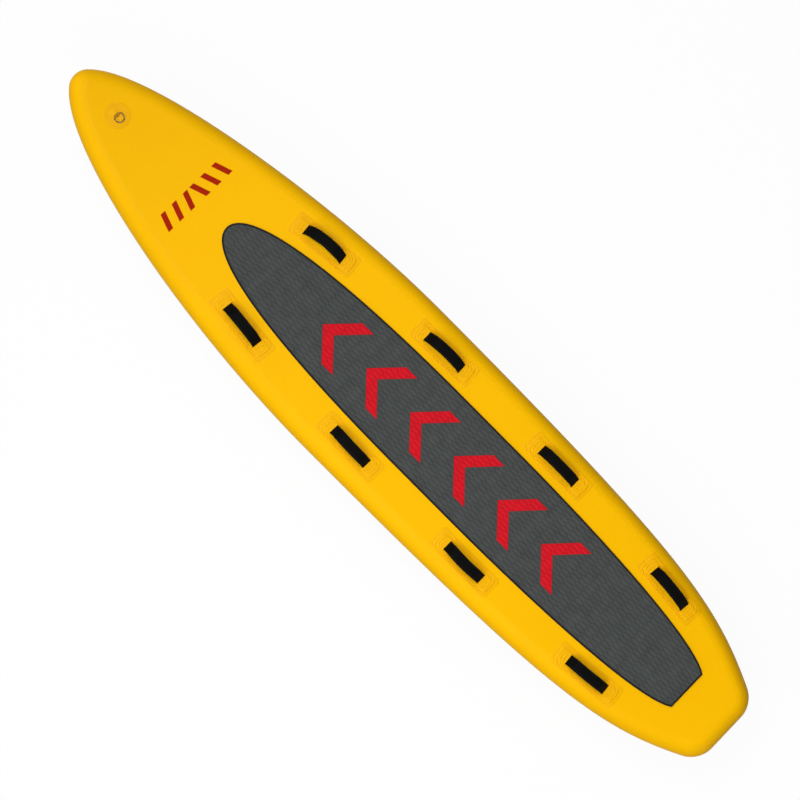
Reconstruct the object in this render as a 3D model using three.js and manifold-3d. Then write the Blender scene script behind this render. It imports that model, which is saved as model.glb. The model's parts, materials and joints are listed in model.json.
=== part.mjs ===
// Inflatable lifeguard rescue board, lying deck up. Millimetres.
// +X points to the nose, +Y to port and +Z up out of the deck.
// The origin is on the flat bottom, under the middle of the board.

import * as THREE from "three";
import { mergeVertices } from "three/addons/utils/BufferGeometryUtils.js";
import Module from "manifold-3d";

const wasm = await Module();
wasm.setup();

// Hull
const boardLength = 3810;
const boardWidth = 806;
const boardThickness = 150;
const skinThickness = 1.2;
const clearance = 0.3;
const weldDistance = 1e-3;
const railFacets = 8;

// Plan outline of the flat deck and bottom faces, inside the half-round rails
const noseTipRadius = 5;
const noseSideAngle = 48.6;
const noseHandleShare = 0.0626;
const noseWaistHandleShare = 0.1839;
const widestFrontShare = 0.4563;
const widestRearShare = 0.466;
const tailWaistHandleShare = 0.3818;
const tailHandleShare = 0.09;
const tailSideAngle = 26.2;
const tailCornerRadius = 47.2;
const tailEdgeWidth = 175.5;
const outlineSteps = { tip: 5, front: 12, waist: 1, rear: 12, corner: 4 };
const fineSteps = { tip: 20, front: 200, waist: 2, rear: 200, corner: 20 };
const slopeStep = 0.5;

// Lift of the hull at its ends
const noseLift = 77;
const liftToWebbing = 22.5;
const noseLiftPower = 2.2;
const tailLift = 12;
const tailLiftLength = 345;
const tailLiftPower = 2;

// Deck pad and the arrows inlaid in it
const padThickness = 6;
const padBevel = 3;
const padToPatch = 24.1;
const padFrontShare = 0.2304;
const padTailShare = 0.06585;
const padBulletHandleShare = 0.0562;
const padFrontWaistHandleShare = 0.2379;
const padWidestFrontShare = 0.4412;
const padWidestRearShare = 0.5685;
const padRearWaistHandleShare = 0.0737;
const padTailHandleShare = 0.064;
const padTailAngle = 34.6;
const padTailEdgeShare = 0.4651;
const padSteps = { bullet: 12, waist: 1, rear: 8 };
const chevronCount = 6;
const chevronSpan = 239;
const chevronSweep = 112;
const chevronStroke = 47;
const chevronPitchShare = 0.09484;
const firstChevronShare = 0.2411;

// Carry handles: four along each side
const gripWidth = 49;
const gripLength = 150;
const gripThickness = 9.6;
const gripChamfer = 3.4;
const webbingWidth = 46;
const webbingThickness = 2;
const webbingTail = 42;
const archSpan = 196;
const archRise = 38;
const archPower = 4;
const archSteps = 16;
const gripSteps = 8;
const patchMargin = 21;
const patchWidth = 100;
const patchThickness = 1.2;
const patchLay = 0.5;
const patchSlope = 10;
const windowWidth = 56;
const moundFoot = 8;
const patchRootGap = 1.2;
const pocketSideGap = 0.6;
// Distance behind the nose and off the centre line as shares of half the board's length and width, the angle
// that each handle is toed in by, and how far its middle bows outward as a share of the grip's width
const handlePlaceShares = [
  { behindNose: 0.6339, offCentre: 0.5896, toeIn: 6, portBow: 0, starboardBow: 0.18 },
  { behindNose: 0.9817, offCentre: 0.6819, toeIn: 1.8, portBow: 0.09, starboardBow: 0.08 },
  { behindNose: 1.3302, offCentre: 0.6903, toeIn: 0, portBow: 0.16, starboardBow: -0.01 },
  { behindNose: 1.6881, offCentre: 0.6126, toeIn: -5.7, portBow: 0.08, starboardBow: 0.01 },
];

// Nose ring
const ringPatchDiameter = 110;
const ringPatchToNose = 246;
const ringWire = 4.5;
const ringWidth = 43;
const ringLegLength = 13;
const ringCornerRadius = 5;
const ringBarAhead = 0.5;
const ringSides = 8;
const ringCornerSteps = 3;
const ringBowSteps = 10;
const ringPlay = 0.5;
const tabWidth = 20;
const tabThickness = 1.6;
const tabTail = 30;
const tabArcSteps = 12;
const slotMargin = 3;
const ringPatchSides = 32;

// Inflation valve, under the board ahead of the fin
const valveToTail = 855;
const valveFlangeDiameter = 62;
const valveFlangeThickness = 3;
const valveBarrelDiameter = 40;
const valveThroatDiameter = 30;
const valveDepth = 34;
const valveSeatDiameter = 20;
const valveSeatThickness = 3;
const valveCollarDiameter = 44;
const valveCollarHeight = 3.6;
const valveHubDiameter = 11;
const valveHubLength = 6;
const valveSpokeWidth = 2.4;
const valveSpokeHeight = 3;
const valveSpokes = 3;
const plungerDiameter = 4;
const plungerButtonDiameter = 10;
const plungerButtonThickness = 2.4;
const plungerRunningGap = 0.4;
const plungerHeadRecess = 7;
const plungerTravel = 5;
const plungerPlateDiameter = 21;
const plungerPlateThickness = 2;
const sealDiameter = 25;
const sealThickness = 2.4;
const springWire = 0.9;
const springDiameter = 7.2;
const springTurns = 4;
const springStepsPerTurn = 8;
const springSides = 5;
const nutDiameter = 56;
const nutThickness = 6;
const nutRoom = 1.2;
const capDiameter = 56;
const capCrown = 2.6;
const capPlugDepth = 4;
const capRibWidth = 5;
const capRibHeight = 2.6;
const capRibLength = 45;
const capCrossBars = 2;
const capRingWall = 3.4;
const capRingThickness = 1.8;
const capTabWidth = 9;
const capTabReach = 5;
const turnedSides = 24;

// Fin box and slide-in fin
const finBoxToTail = 485;
const finBoxLength = 236;
const finBoxWidth = 34;
const finBoxDepth = 26;
const finBoxFlange = 22;
const finBoxFlangeThickness = 2.6;
const finBoxEndWall = 12;
const finBoxChamfer = 3;
const finRootWidth = 22;
const finRootDepth = 6;
const finWebThickness = 9;
const finRootLength = 206;
const finRootCover = 4;
const finDepth = 205;
const finRakeShare = 0.62;
// Where the fin's edges bend, as shares of its chord and its height
const finEdgeShares = {
  leadingBack: 0.167,
  leadingUp: 0.5,
  tipLength: 0.3,
  tipMiddle: 0.1,
  trailingBack: 0.15,
  trailingUp: 0.5,
};
const finEdgeBevel = 3;
const finEdgeBevelWidth = 9;
const finPullTab = 14;
const finPullHeight = 5;

// The chamber is drawn in lengths: one round the valve, and short ones where the nose rises
const valveRoom = 70;
const riseCutShares = [0, 0.27, 0.52, 0.74];

const halfLength = boardLength / 2;
const foremostHandle = halfLength * (1 - handlePlaceShares[0].behindNose);
const noseLiftStart = foremostHandle + archSpan / 2 + webbingTail + liftToWebbing;
const noseLiftLength = halfLength - noseLiftStart;
const padFrontX = halfLength - padFrontShare * boardLength;
const padLength = (1 - padFrontShare - padTailShare) * boardLength;
const padHalfWidth = (handlePlaceShares[1].offCentre * boardWidth) / 2 - patchWidth / 2 - padToPatch;
const railRadius = boardThickness / 2;
const deckTop = boardThickness;
const overrun = boardThickness;
const radians = THREE.MathUtils.degToRad;

const colours = {
  yellow: 0xfac300,
  chamber: 0xe8e4d8,
  padGrey: 0x46484b,
  padRed: 0xd71923,
  webbing: 0x141415,
  grip: 0x1b1b1d,
  steel: 0xb9bcc0,
  valveGrey: 0x8d9296,
  seal: 0x1a1a1a,
  finBlack: 0x16171a,
};

function material(color, roughness, metalness = 0) {
  return new THREE.MeshStandardMaterial({ color, roughness, metalness });
}

// Closed geometry to a manifold solid, and back
function solidOf(geometry) {
  const bare = geometry.clone();
  bare.deleteAttribute("normal");
  bare.deleteAttribute("uv");
  const merged = mergeVertices(bare, weldDistance);
  const triVerts = new Uint32Array(merged.index.array);
  const vertProperties = merged.attributes.position.array;
  return new wasm.Manifold(new wasm.Mesh({ numProp: 3, vertProperties, triVerts }));
}

function geometryOf(solid) {
  const mesh = solid.getMesh();
  const geometry = new THREE.BufferGeometry();
  geometry.setAttribute("position", new THREE.BufferAttribute(mesh.vertProperties, 3));
  geometry.setIndex(new THREE.BufferAttribute(mesh.triVerts, 1));
  geometry.computeVertexNormals();
  return geometry;
}

function joined(first, ...others) {
  return geometryOf(others.reduce((sum, each) => sum.add(solidOf(each)), solidOf(first)));
}

function cut(first, ...others) {
  return geometryOf(others.reduce((rest, each) => rest.subtract(solidOf(each)), solidOf(first)));
}

// A geometry from quads whose corners run counter-clockwise seen from outside; equal corners make triangles
function surface(quads) {
  const points = [];
  const same = (a, b) => a.distanceTo(b) < weldDistance;
  const triangle = (a, b, c) => {
    if (!same(a, b) && !same(b, c) && !same(c, a)) points.push(a, b, c);
  };
  for (const [a, b, c, d] of quads) {
    triangle(a, b, c);
    triangle(a, c, d);
  }
  const geometry = new THREE.BufferGeometry().setFromPoints(points);
  geometry.computeVertexNormals();
  return geometry;
}

// A skin through rings of points; each ring turns right-handed about the way from its first to its last ring
function loft(rings, closed = false) {
  const quads = [];
  const size = rings[0].length;
  const spans = closed ? rings.length : rings.length - 1;
  for (let i = 0; i < spans; i++) {
    const near = rings[i];
    const far = rings[(i + 1) % rings.length];
    for (let j = 0; j < size; j++) {
      const k = (j + 1) % size;
      quads.push([near[j], near[k], far[k], far[j]]);
    }
  }
  if (!closed) {
    const first = rings[0];
    const last = rings[rings.length - 1];
    for (let j = 0; j < size / 2 - 1; j++) {
      quads.push([first[j], first[size - 1 - j], first[size - 2 - j], first[j + 1]]);
      quads.push([last[j], last[j + 1], last[size - 2 - j], last[size - 1 - j]]);
    }
  }
  return surface(quads);
}

// Height that the raised nose and tail add at a distance x ahead of the middle
function lift(x) {
  const nose = Math.max(0, x - noseLiftStart) / noseLiftLength;
  const tail = Math.max(0, -x - halfLength + tailLiftLength) / tailLiftLength;
  return noseLift * nose ** noseLiftPower + tailLift * tail ** tailLiftPower;
}

function lifted(geometry) {
  const position = geometry.attributes.position;
  for (let i = 0; i < position.count; i++) {
    position.setZ(i, position.getZ(i) + lift(position.getX(i)));
  }
  position.needsUpdate = true;
  geometry.computeVertexNormals();
  return geometry;
}

// Port half of the flat faces' outline, nose to tail
function faceOutline() {
  const noseX = halfLength - railRadius;
  const tailX = -noseX;
  const faceLength = noseX - tailX;
  const halfFace = boardWidth / 2 - railRadius;
  const flare = radians(noseSideAngle);
  const taper = radians(tailSideAngle);
  const tip = new THREE.Vector2(noseX - noseTipRadius, 0);
  const noseWaist = new THREE.Vector2(noseX - widestFrontShare * faceLength, halfFace);
  const tailWaist = new THREE.Vector2(noseX - widestRearShare * faceLength, halfFace);
  const corner = new THREE.Vector2(tailX + tailCornerRadius, tailEdgeWidth / 2);
  const shoulder = tip.clone().add(polar(noseTipRadius, Math.PI / 2 - flare));
  const hip = corner.clone().add(polar(tailCornerRadius, Math.PI / 2 + taper));
  const tipArc = new THREE.EllipseCurve(
    tip.x,
    tip.y,
    noseTipRadius,
    noseTipRadius,
    0,
    Math.PI / 2 - flare,
  );
  const front = new THREE.CubicBezierCurve(
    shoulder,
    shoulder.clone().add(polar(noseHandleShare * faceLength, Math.PI - flare)),
    noseWaist.clone().add(polar(noseWaistHandleShare * faceLength, 0)),
    noseWaist,
  );
  const rear = new THREE.CubicBezierCurve(
    tailWaist,
    tailWaist.clone().add(polar(tailWaistHandleShare * faceLength, Math.PI)),
    hip.clone().add(polar(tailHandleShare * faceLength, taper)),
    hip,
  );
  const cornerArc = new THREE.EllipseCurve(
    corner.x,
    corner.y,
    tailCornerRadius,
    tailCornerRadius,
    Math.PI / 2 + taper,
    Math.PI,
  );
  return { tip: tipArc, front, waist: new THREE.LineCurve(noseWaist, tailWaist), rear, corner: cornerArc };
}

function polar(length, angle) {
  return new THREE.Vector2(length * Math.cos(angle), length * Math.sin(angle));
}

// Points along the curves with the outward normal at each
function stationsAlong(curves, steps) {
  const stations = [];
  for (const [name, curve] of Object.entries(curves)) {
    for (let i = stations.length ? 1 : 0; i <= steps[name]; i++) {
      const at = curve.getPoint(i / steps[name]);
      const along = curve.getTangent(i / steps[name]);
      stations.push({ x: at.x, y: at.y, nx: along.y, ny: -along.x });
    }
  }
  return stations;
}

const faceStations = stationsAlong(faceOutline(), outlineSteps);
const fineStations = stationsAlong(faceOutline(), fineSteps);

// How far the rounded rail has dropped below the deck at a place in plan
function railDrop(x, y) {
  let nearest = fineStations[0];
  let least = Infinity;
  for (const station of fineStations) {
    const distance = Math.hypot(x - station.x, Math.abs(y) - station.y);
    if (distance < least) {
      least = distance;
      nearest = station;
    }
  }
  const beyond = (x - nearest.x) * nearest.nx + (Math.abs(y) - nearest.y) * nearest.ny;
  return railRadius - Math.sqrt(railRadius ** 2 - Math.max(0, beyond) ** 2);
}

// Half-round arc of a rail at a station, from the deck round to the bottom
function railArc(station, radius, side = 1) {
  const points = [];
  for (let k = 0; k <= railFacets; k++) {
    const angle = Math.PI / 2 - (Math.PI * k) / railFacets;
    const out = radius * Math.cos(angle);
    const x = station.x + station.nx * out;
    const y = side * (station.y + station.ny * out);
    points.push(new THREE.Vector3(x, y, railRadius + radius * Math.sin(angle)));
  }
  return points;
}

// The whole hull as one block, with rails of this radius
function hullBlock(radius) {
  const rings = faceStations.map((station) => [
    ...railArc(station, radius),
    ...railArc(station, radius, -1).reverse(),
  ]);
  return lifted(loft(rings));
}

// What lies on the hull is cut by the hull and its clearance, seen from the piece's own group
function clearOfHull(group, geometry, ...cuts) {
  group.updateMatrix();
  const room = hullBlock(railRadius + clearance).applyMatrix4(group.matrix.clone().invert());
  return cut(geometry, room, ...cuts);
}

// A plate between two heights whose top outline is drawn in by a bevel
function plate(stations, bottom, top, bevel = 0) {
  const edge = top - Math.min(bevel, (top - bottom) / 2);
  const rings = stations.map(({ x, y, nx, ny, mx = nx, my = ny }) => {
    const inX = x - mx * bevel;
    const inY = Math.max(0, y - my * bevel);
    const ring = [new THREE.Vector3(inX, -inY, top), new THREE.Vector3(inX, inY, top)];
    if (bevel > 0) ring.push(new THREE.Vector3(x, y, edge));
    ring.push(new THREE.Vector3(x, y, bottom), new THREE.Vector3(x, -y, bottom));
    if (bevel > 0) ring.push(new THREE.Vector3(x, -y, edge));
    return ring;
  });
  return loft(rings);
}

function skinOutline() {
  return faceStations.map(({ x, y, nx, ny }) => ({
    x: x - nx * clearance,
    y: Math.max(0, y - ny * clearance),
    nx,
    ny,
  }));
}

// One side's rail band, from the nose tip to the middle of the tail
function railBandGeometry() {
  const first = faceStations[0];
  const last = faceStations[faceStations.length - 1];
  const chain = [
    { ...first, y: clearance / 2 },
    ...faceStations.slice(1),
    { ...last, y: clearance / 2 },
  ];
  const rings = chain.map((station) => [
    ...railArc(station, railRadius),
    ...railArc(station, railRadius - skinThickness).reverse(),
  ]);
  return loft(rings);
}

// Where the chamber is cut across, from the tail to the nose
function chamberCuts() {
  return [
    -halfLength - overrun,
    valveX() - valveRoom,
    valveX() + valveRoom,
    ...riseCutShares.map((share) => noseLiftStart + share * noseLiftLength),
    halfLength + overrun,
  ];
}

// The part of a geometry between two places along the board
function within(geometry, from, to) {
  const room = block(to - from, boardWidth, 2 * boardThickness + noseLift, from);
  return geometryOf(solidOf(geometry).intersect(solidOf(room)));
}

function hull() {
  const group = new THREE.Group();
  const pocketDepth = valveDepth + sealThickness + plungerPlateThickness + plungerTravel + nutRoom;
  const valveHole = turned(nutDiameter / 2 + nutRoom, pocketDepth + overrun);
  valveHole.translate(valveX(), 0, -overrun);
  // The air chamber with its drop-stitch threads, inside the skins
  const chamber = cut(hullBlock(railRadius - skinThickness - clearance), valveHole);
  const ends = chamberCuts();
  for (let i = 1; i < ends.length; i++) {
    const length = within(chamber, ends[i - 1] + clearance / 2, ends[i] - clearance / 2);
    add(group, `drop_stitch_core_${i}`, length, material(colours.chamber, 0.9));
  }
  const deck = lifted(plate(skinOutline(), deckTop - skinThickness, deckTop));
  add(group, "deck_skin", deck, material(colours.yellow, 0.45));
  const barrelHole = turned(valveBarrelDiameter / 2 + clearance, 2 * overrun);
  barrelHole.translate(valveX(), 0, -overrun);
  const bottom = lifted(plate(skinOutline(), 0, skinThickness));
  add(group, "bottom_skin", cut(bottom, barrelHole), material(colours.yellow, 0.45));
  const band = lifted(railBandGeometry());
  add(group, "port_rail_band", band, material(colours.yellow, 0.42));
  const starboard = add(group, "starboard_rail_band", band.clone(), material(colours.yellow, 0.42));
  starboard.scale.y = -1;
  return group;
}

// A straight cylinder from zero up
function turned(radius, height, sides = turnedSides) {
  const geometry = new THREE.CylinderGeometry(radius, radius, height, sides);
  geometry.rotateX(Math.PI / 2);
  geometry.translate(0, 0, height / 2);
  return geometry;
}

// Radius and height pairs revolved about Z, counter-clockwise in the half plane
function revolved(profile, sides = turnedSides) {
  const points = profile.map(([radius, height]) => new THREE.Vector2(radius, height));
  points.push(points[0].clone());
  const geometry = new THREE.LatheGeometry(points, sides);
  geometry.rotateX(Math.PI / 2);
  return geometry;
}

function block(x, y, z, lowX = -x / 2, lowY = -y / 2, lowZ = 0) {
  const geometry = new THREE.BoxGeometry(x, y, z);
  geometry.translate(lowX + x / 2, lowY + y / 2, lowZ + z / 2);
  return geometry;
}

// An outline drawn up from zero
function upright(shape, height) {
  return new THREE.ExtrudeGeometry(shape, { depth: height, bevelEnabled: false });
}

function add(group, name, geometry, finish) {
  const mesh = new THREE.Mesh(geometry, finish);
  mesh.name = name;
  group.add(mesh);
  return mesh;
}

// Outline of the deck pad, port half, front to tail
function padStations() {
  const taper = radians(padTailAngle);
  const tip = new THREE.Vector2(padFrontX, 0);
  const frontWaist = new THREE.Vector2(padFrontX - padWidestFrontShare * padLength, padHalfWidth);
  const rearWaist = new THREE.Vector2(padFrontX - padWidestRearShare * padLength, padHalfWidth);
  const corner = new THREE.Vector2(padFrontX - padLength, padTailEdgeShare * padHalfWidth);
  const bullet = new THREE.CubicBezierCurve(
    tip,
    tip.clone().add(polar(padBulletHandleShare * padLength, Math.PI / 2)),
    frontWaist.clone().add(polar(padFrontWaistHandleShare * padLength, 0)),
    frontWaist,
  );
  const rear = new THREE.CubicBezierCurve(
    rearWaist,
    rearWaist.clone().add(polar(padRearWaistHandleShare * padLength, Math.PI)),
    corner.clone().add(polar(padTailHandleShare * padLength, taper)),
    corner,
  );
  const curves = { bullet, waist: new THREE.LineCurve(frontWaist, rearWaist), rear };
  const stations = stationsAlong(curves, padSteps);
  const last = stations[stations.length - 1];
  last.mx = -1;
  last.my = Math.cos(taper) / (1 + Math.sin(taper));
  return stations;
}

// An arrow head pointing to the nose, with all its edges moved out by grow
function chevronShape(grow) {
  const arm = Math.hypot(chevronSweep, chevronSpan / 2);
  const slope = chevronSweep / (chevronSpan / 2);
  const alongStroke = (chevronStroke * arm) / (chevronSpan / 2);
  const alongGrow = (grow * arm) / (chevronSpan / 2);
  const reach = chevronSpan / 2 + grow;
  const front = (chevronSweep + alongStroke) / 2 + alongGrow;
  const back = front - alongStroke - 2 * alongGrow;
  const shape = new THREE.Shape();
  shape.moveTo(front, 0);
  shape.lineTo(front - slope * reach, reach);
  shape.lineTo(back - slope * reach, reach);
  shape.lineTo(back, 0);
  shape.lineTo(back - slope * reach, -reach);
  shape.lineTo(front - slope * reach, -reach);
  shape.closePath();
  return shape;
}

function deckPad() {
  const group = new THREE.Group();
  const bottom = deckTop + clearance;
  const pad = plate(padStations(), bottom, bottom + padThickness, padBevel);
  const cuts = [];
  for (let i = 0; i < chevronCount; i++) {
    const x = padFrontX - (firstChevronShare + i * chevronPitchShare) * padLength;
    cuts.push(upright(chevronShape(clearance), overrun).translate(x, 0, deckTop));
    const inlay = upright(chevronShape(0), padThickness).translate(x, 0, bottom);
    add(group, `pad_chevron_${i + 1}`, inlay, material(colours.padRed, 0.8));
  }
  add(group, "deck_pad", clearOfHull(group, lifted(pad), ...cuts), material(colours.padGrey, 0.85));
  return group;
}

// Middle line of a handle's webbing in its own plane: flat tails and the arch between them
const webbingLay = clearance + webbingThickness / 2;

function archHeight(u) {
  return webbingLay + archRise * (1 - Math.min(1, Math.abs((2 * u) / archSpan)) ** archPower);
}

function archPoints(reach, steps) {
  const points = [];
  for (let i = 0; i <= steps; i++) {
    const u = -reach * Math.cos((Math.PI * i) / steps);
    points.push(new THREE.Vector2(u, archHeight(u)));
  }
  return points;
}

function webbingLine() {
  const end = archSpan / 2 + webbingTail;
  return [
    new THREE.Vector2(-end, webbingLay),
    ...archPoints(archSpan / 2, archSteps),
    new THREE.Vector2(end, webbingLay),
  ];
}

// Unit normals of a line of points, turned to its left
function normalsOf(line) {
  return line.map((_, i) => {
    const before = line[Math.max(0, i - 1)];
    const after = line[Math.min(line.length - 1, i + 1)];
    const along = after.clone().sub(before).normalize();
    return new THREE.Vector2(-along.y, along.x);
  });
}

// How far a handle stands off its own middle line
function sideways(u, bow) {
  return bow * gripWidth * Math.max(0, 1 - ((2 * u) / archSpan) ** 2);
}

// A flat band that follows a line in the handle's upright plane, bowed to one side
function band(line, thickness, width, bow) {
  const normals = normalsOf(line);
  const rings = line.map((point, i) => {
    const half = thickness / 2;
    const off = sideways(point.x, bow);
    const topU = point.x + normals[i].x * half;
    const topZ = point.y + normals[i].y * half;
    const lowU = point.x - normals[i].x * half;
    const lowZ = point.y - normals[i].y * half;
    return [
      new THREE.Vector3(topU, off + width / 2, topZ),
      new THREE.Vector3(topU, off - width / 2, topZ),
      new THREE.Vector3(lowU, off - width / 2, lowZ),
      new THREE.Vector3(lowU, off + width / 2, lowZ),
    ];
  });
  return loft(rings);
}

// The padded grip: a chamfered band with a slot right through for the webbing
function gripGeometry(bow) {
  const line = archPoints(gripLength / 2, gripSteps);
  const normals = normalsOf(line);
  const w = gripWidth / 2;
  const t = gripThickness / 2;
  const c = gripChamfer;
  const section = [
    [w, t - c],
    [w - c, t],
    [c - w, t],
    [-w, t - c],
    [-w, c - t],
    [c - w, -t],
    [w - c, -t],
    [w, c - t],
  ];
  const rings = line.map((point, i) =>
    section.map(([y, up]) => {
      const u = point.x + normals[i].x * up;
      return new THREE.Vector3(u, sideways(point.x, bow) + y, point.y + normals[i].y * up);
    }),
  );
  const slot = band(webbingLine(), webbingThickness + 2 * clearance, webbingWidth + 2 * clearance, bow);
  return cut(loft(rings), slot);
}

// The glued patch hugs deck and rail; it has a window for the grip and rises over the webbing's tails
function patchGeometry(place) {
  const a = archSpan / 2 + patchRootGap;
  const pocketEnd = archSpan / 2 + webbingTail + clearance;
  const end = archSpan / 2 + webbingTail + patchMargin;
  const halfPatch = patchWidth / 2;
  const halfWindow = windowWidth / 2;
  const halfPocket = webbingWidth / 2 + pocketSideGap;
  const foot = halfWindow + moundFoot;
  const lines = (list) => [...list.map((each) => -each).reverse(), ...list];
  const us = lines([a - patchSlope, a, pocketEnd, end - patchSlope, end]);
  us.splice(us.length / 2, 0, 0);
  const vs = lines([halfPocket, halfWindow, foot, halfPatch]);
  const pocketTop = clearance + webbingThickness + clearance;
  const top = [];
  const low = [];
  us.forEach((u, i) => {
    top.push([]);
    low.push([]);
    vs.forEach((v, j) => {
      const atEnd = Math.abs(u) === end;
      const atSide = Math.abs(v) === halfPatch;
      const rounding = atEnd && atSide ? patchSlope * (1 - Math.SQRT1_2) : 0;
      const hereU = u - Math.sign(u) * rounding;
      const hereV = v - Math.sign(v) * rounding;
      const where = new THREE.Vector2(hereU, hereV).rotateAround(new THREE.Vector2(), place.turn);
      const drop = railDrop(place.x + where.x, place.y + where.y);
      const overTail = Math.abs(u) >= a && !atEnd && Math.abs(v) <= halfWindow;
      const overPocket = overTail && Math.abs(u) <= pocketEnd && Math.abs(v) <= halfPocket;
      const under = overPocket ? pocketTop : patchLay - drop;
      const over = overTail ? pocketTop + patchThickness : patchLay + patchThickness - drop;
      top[i].push(new THREE.Vector3(hereU, hereV, over));
      low[i].push(new THREE.Vector3(hereU, hereV, under));
    });
  });
  const open = (i, j) => {
    if (i < 0 || j < 0 || i >= us.length - 1 || j >= vs.length - 1) return true;
    return Math.abs(us[i] + us[i + 1]) / 2 < a && Math.abs(vs[j] + vs[j + 1]) / 2 < halfWindow;
  };
  const quads = [];
  for (let i = 0; i < us.length - 1; i++) {
    for (let j = 0; j < vs.length - 1; j++) {
      if (open(i, j)) continue;
      quads.push([top[i][j], top[i + 1][j], top[i + 1][j + 1], top[i][j + 1]]);
      quads.push([low[i][j], low[i][j + 1], low[i + 1][j + 1], low[i + 1][j]]);
      const edge = (i0, j0, i1, j1) => quads.push([low[i0][j0], low[i1][j1], top[i1][j1], top[i0][j0]]);
      if (open(i, j - 1)) edge(i, j, i + 1, j);
      if (open(i, j + 1)) edge(i + 1, j + 1, i, j + 1);
      if (open(i - 1, j)) edge(i, j + 1, i, j);
      if (open(i + 1, j)) edge(i + 1, j, i + 1, j + 1);
    }
  }
  return surface(quads);
}

function handle(name, share, side) {
  const place = {
    x: halfLength * (1 - share.behindNose),
    y: (side * share.offCentre * boardWidth) / 2,
    turn: -side * radians(share.toeIn),
  };
  const group = new THREE.Group();
  group.position.set(place.x, place.y, deckTop);
  group.rotation.z = place.turn;
  const patch = clearOfHull(group, patchGeometry(place));
  add(group, `${name}_patch`, patch, material(colours.yellow, 0.42));
  const bow = side * (side > 0 ? share.portBow : share.starboardBow);
  const webbing = band(webbingLine(), webbingThickness, webbingWidth, bow);
  add(group, `${name}_webbing`, webbing, material(colours.webbing, 0.85));
  add(group, `${name}_grip`, gripGeometry(bow), material(colours.grip, 0.7));
  return group;
}

function handles() {
  const group = new THREE.Group();
  for (const [sideName, side] of [["port", 1], ["starboard", -1]]) {
    handlePlaceShares.forEach((share, i) => {
      group.add(handle(`${sideName}_handle_${i + 1}`, share, side));
    });
  }
  return group;
}

// Middle line of the D-ring in its own plane: the bar across, two legs and the round bow behind
function ringLine() {
  const half = (ringWidth - ringWire) / 2;
  const r = ringCornerRadius;
  const points = [];
  const arc = (x, y, radius, from, to, steps) => {
    for (let i = 0; i <= steps; i++) {
      const angle = from + ((to - from) * i) / steps;
      points.push(new THREE.Vector2(x + radius * Math.cos(angle), y + radius * Math.sin(angle)));
    }
  };
  arc(-r, half - r, r, 0, Math.PI / 2, ringCornerSteps);
  arc(-ringLegLength, 0, half, Math.PI / 2, 1.5 * Math.PI, ringBowSteps);
  arc(-r, r - half, r, -Math.PI / 2, 0, ringCornerSteps);
  return points;
}

function ringGeometry() {
  const line = ringLine();
  const rings = line.map((point, i) => {
    const before = line[(i + line.length - 1) % line.length];
    const after = line[(i + 1) % line.length];
    const along = after.clone().sub(before).normalize();
    const ring = [];
    for (let j = 0; j < ringSides; j++) {
      const angle = (2 * Math.PI * j) / ringSides;
      const out = (ringWire / 2) * Math.cos(angle);
      const x = point.x + along.y * out;
      const y = point.y - along.x * out;
      ring.push(new THREE.Vector3(x, y, (ringWire / 2) * Math.sin(angle)));
    }
    return ring.reverse();
  });
  return loft(rings, true);
}

// Webbing folded round the bar, its tail flat on the deck towards the nose
function tabGeometry(barHeight) {
  const inner = ringWire / 2 + ringPlay;
  const outer = inner + tabThickness;
  const shape = new THREE.Shape();
  shape.moveTo(tabTail, tabThickness - barHeight + clearance);
  shape.lineTo(outer, tabThickness - barHeight + clearance);
  shape.absarc(0, 0, outer, 0, 1.5 * Math.PI, false);
  shape.lineTo(tabTail, clearance - barHeight);
  shape.closePath();
  const hole = new THREE.Path();
  hole.absarc(0, 0, inner, 0, 2 * Math.PI, true);
  shape.holes.push(hole);
  const geometry = new THREE.ExtrudeGeometry(shape, {
    depth: tabWidth,
    bevelEnabled: false,
    curveSegments: tabArcSteps,
  });
  geometry.rotateX(Math.PI / 2);
  geometry.translate(0, tabWidth / 2, 0);
  return geometry;
}

function noseRing() {
  const barHeight = clearance + tabThickness + ringPlay + ringWire / 2;
  const slotHalf = ringWire / 2 + ringPlay + tabThickness + slotMargin;
  const group = new THREE.Group();
  const x = halfLength - ringPatchToNose;
  const slope = (lift(x + slopeStep) - lift(x - slopeStep)) / (2 * slopeStep);
  group.position.set(x, 0, deckTop + lift(x));
  group.rotation.y = -Math.atan(slope);
  const sheet = turned(ringPatchDiameter / 2, patchThickness, ringPatchSides);
  sheet.translate(0, 0, patchLay);
  const tailEnd = ringBarAhead + tabTail;
  const cover = block(
    tailEnd + slotMargin - ringBarAhead,
    tabWidth + 2 * slotMargin,
    patchThickness + tabThickness + clearance,
    ringBarAhead,
    -tabWidth / 2 - slotMargin,
    patchLay,
  );
  const pocket = block(
    tailEnd + clearance - ringBarAhead + overrun,
    tabWidth + 2 * clearance,
    tabThickness + 2 * clearance + overrun,
    ringBarAhead - overrun,
    -tabWidth / 2 - clearance,
    -overrun,
  );
  const slot = block(
    2 * slotHalf,
    tabWidth + 2 * slotMargin,
    overrun,
    ringBarAhead - slotHalf,
    -tabWidth / 2 - slotMargin,
    -overrun / 2,
  );
  const patch = clearOfHull(group, joined(sheet, cover), pocket, slot);
  add(group, "nose_ring_patch", patch, material(colours.yellow, 0.42));
  const tab = tabGeometry(barHeight).translate(ringBarAhead, 0, barHeight);
  add(group, "nose_ring_tab", tab, material(colours.yellow, 0.6));
  const ring = ringGeometry().translate(ringBarAhead, 0, barHeight);
  add(group, "nose_ring", ring, material(colours.steel, 0.25, 1));
  return group;
}

function valveX() {
  return valveToTail - halfLength;
}

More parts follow.
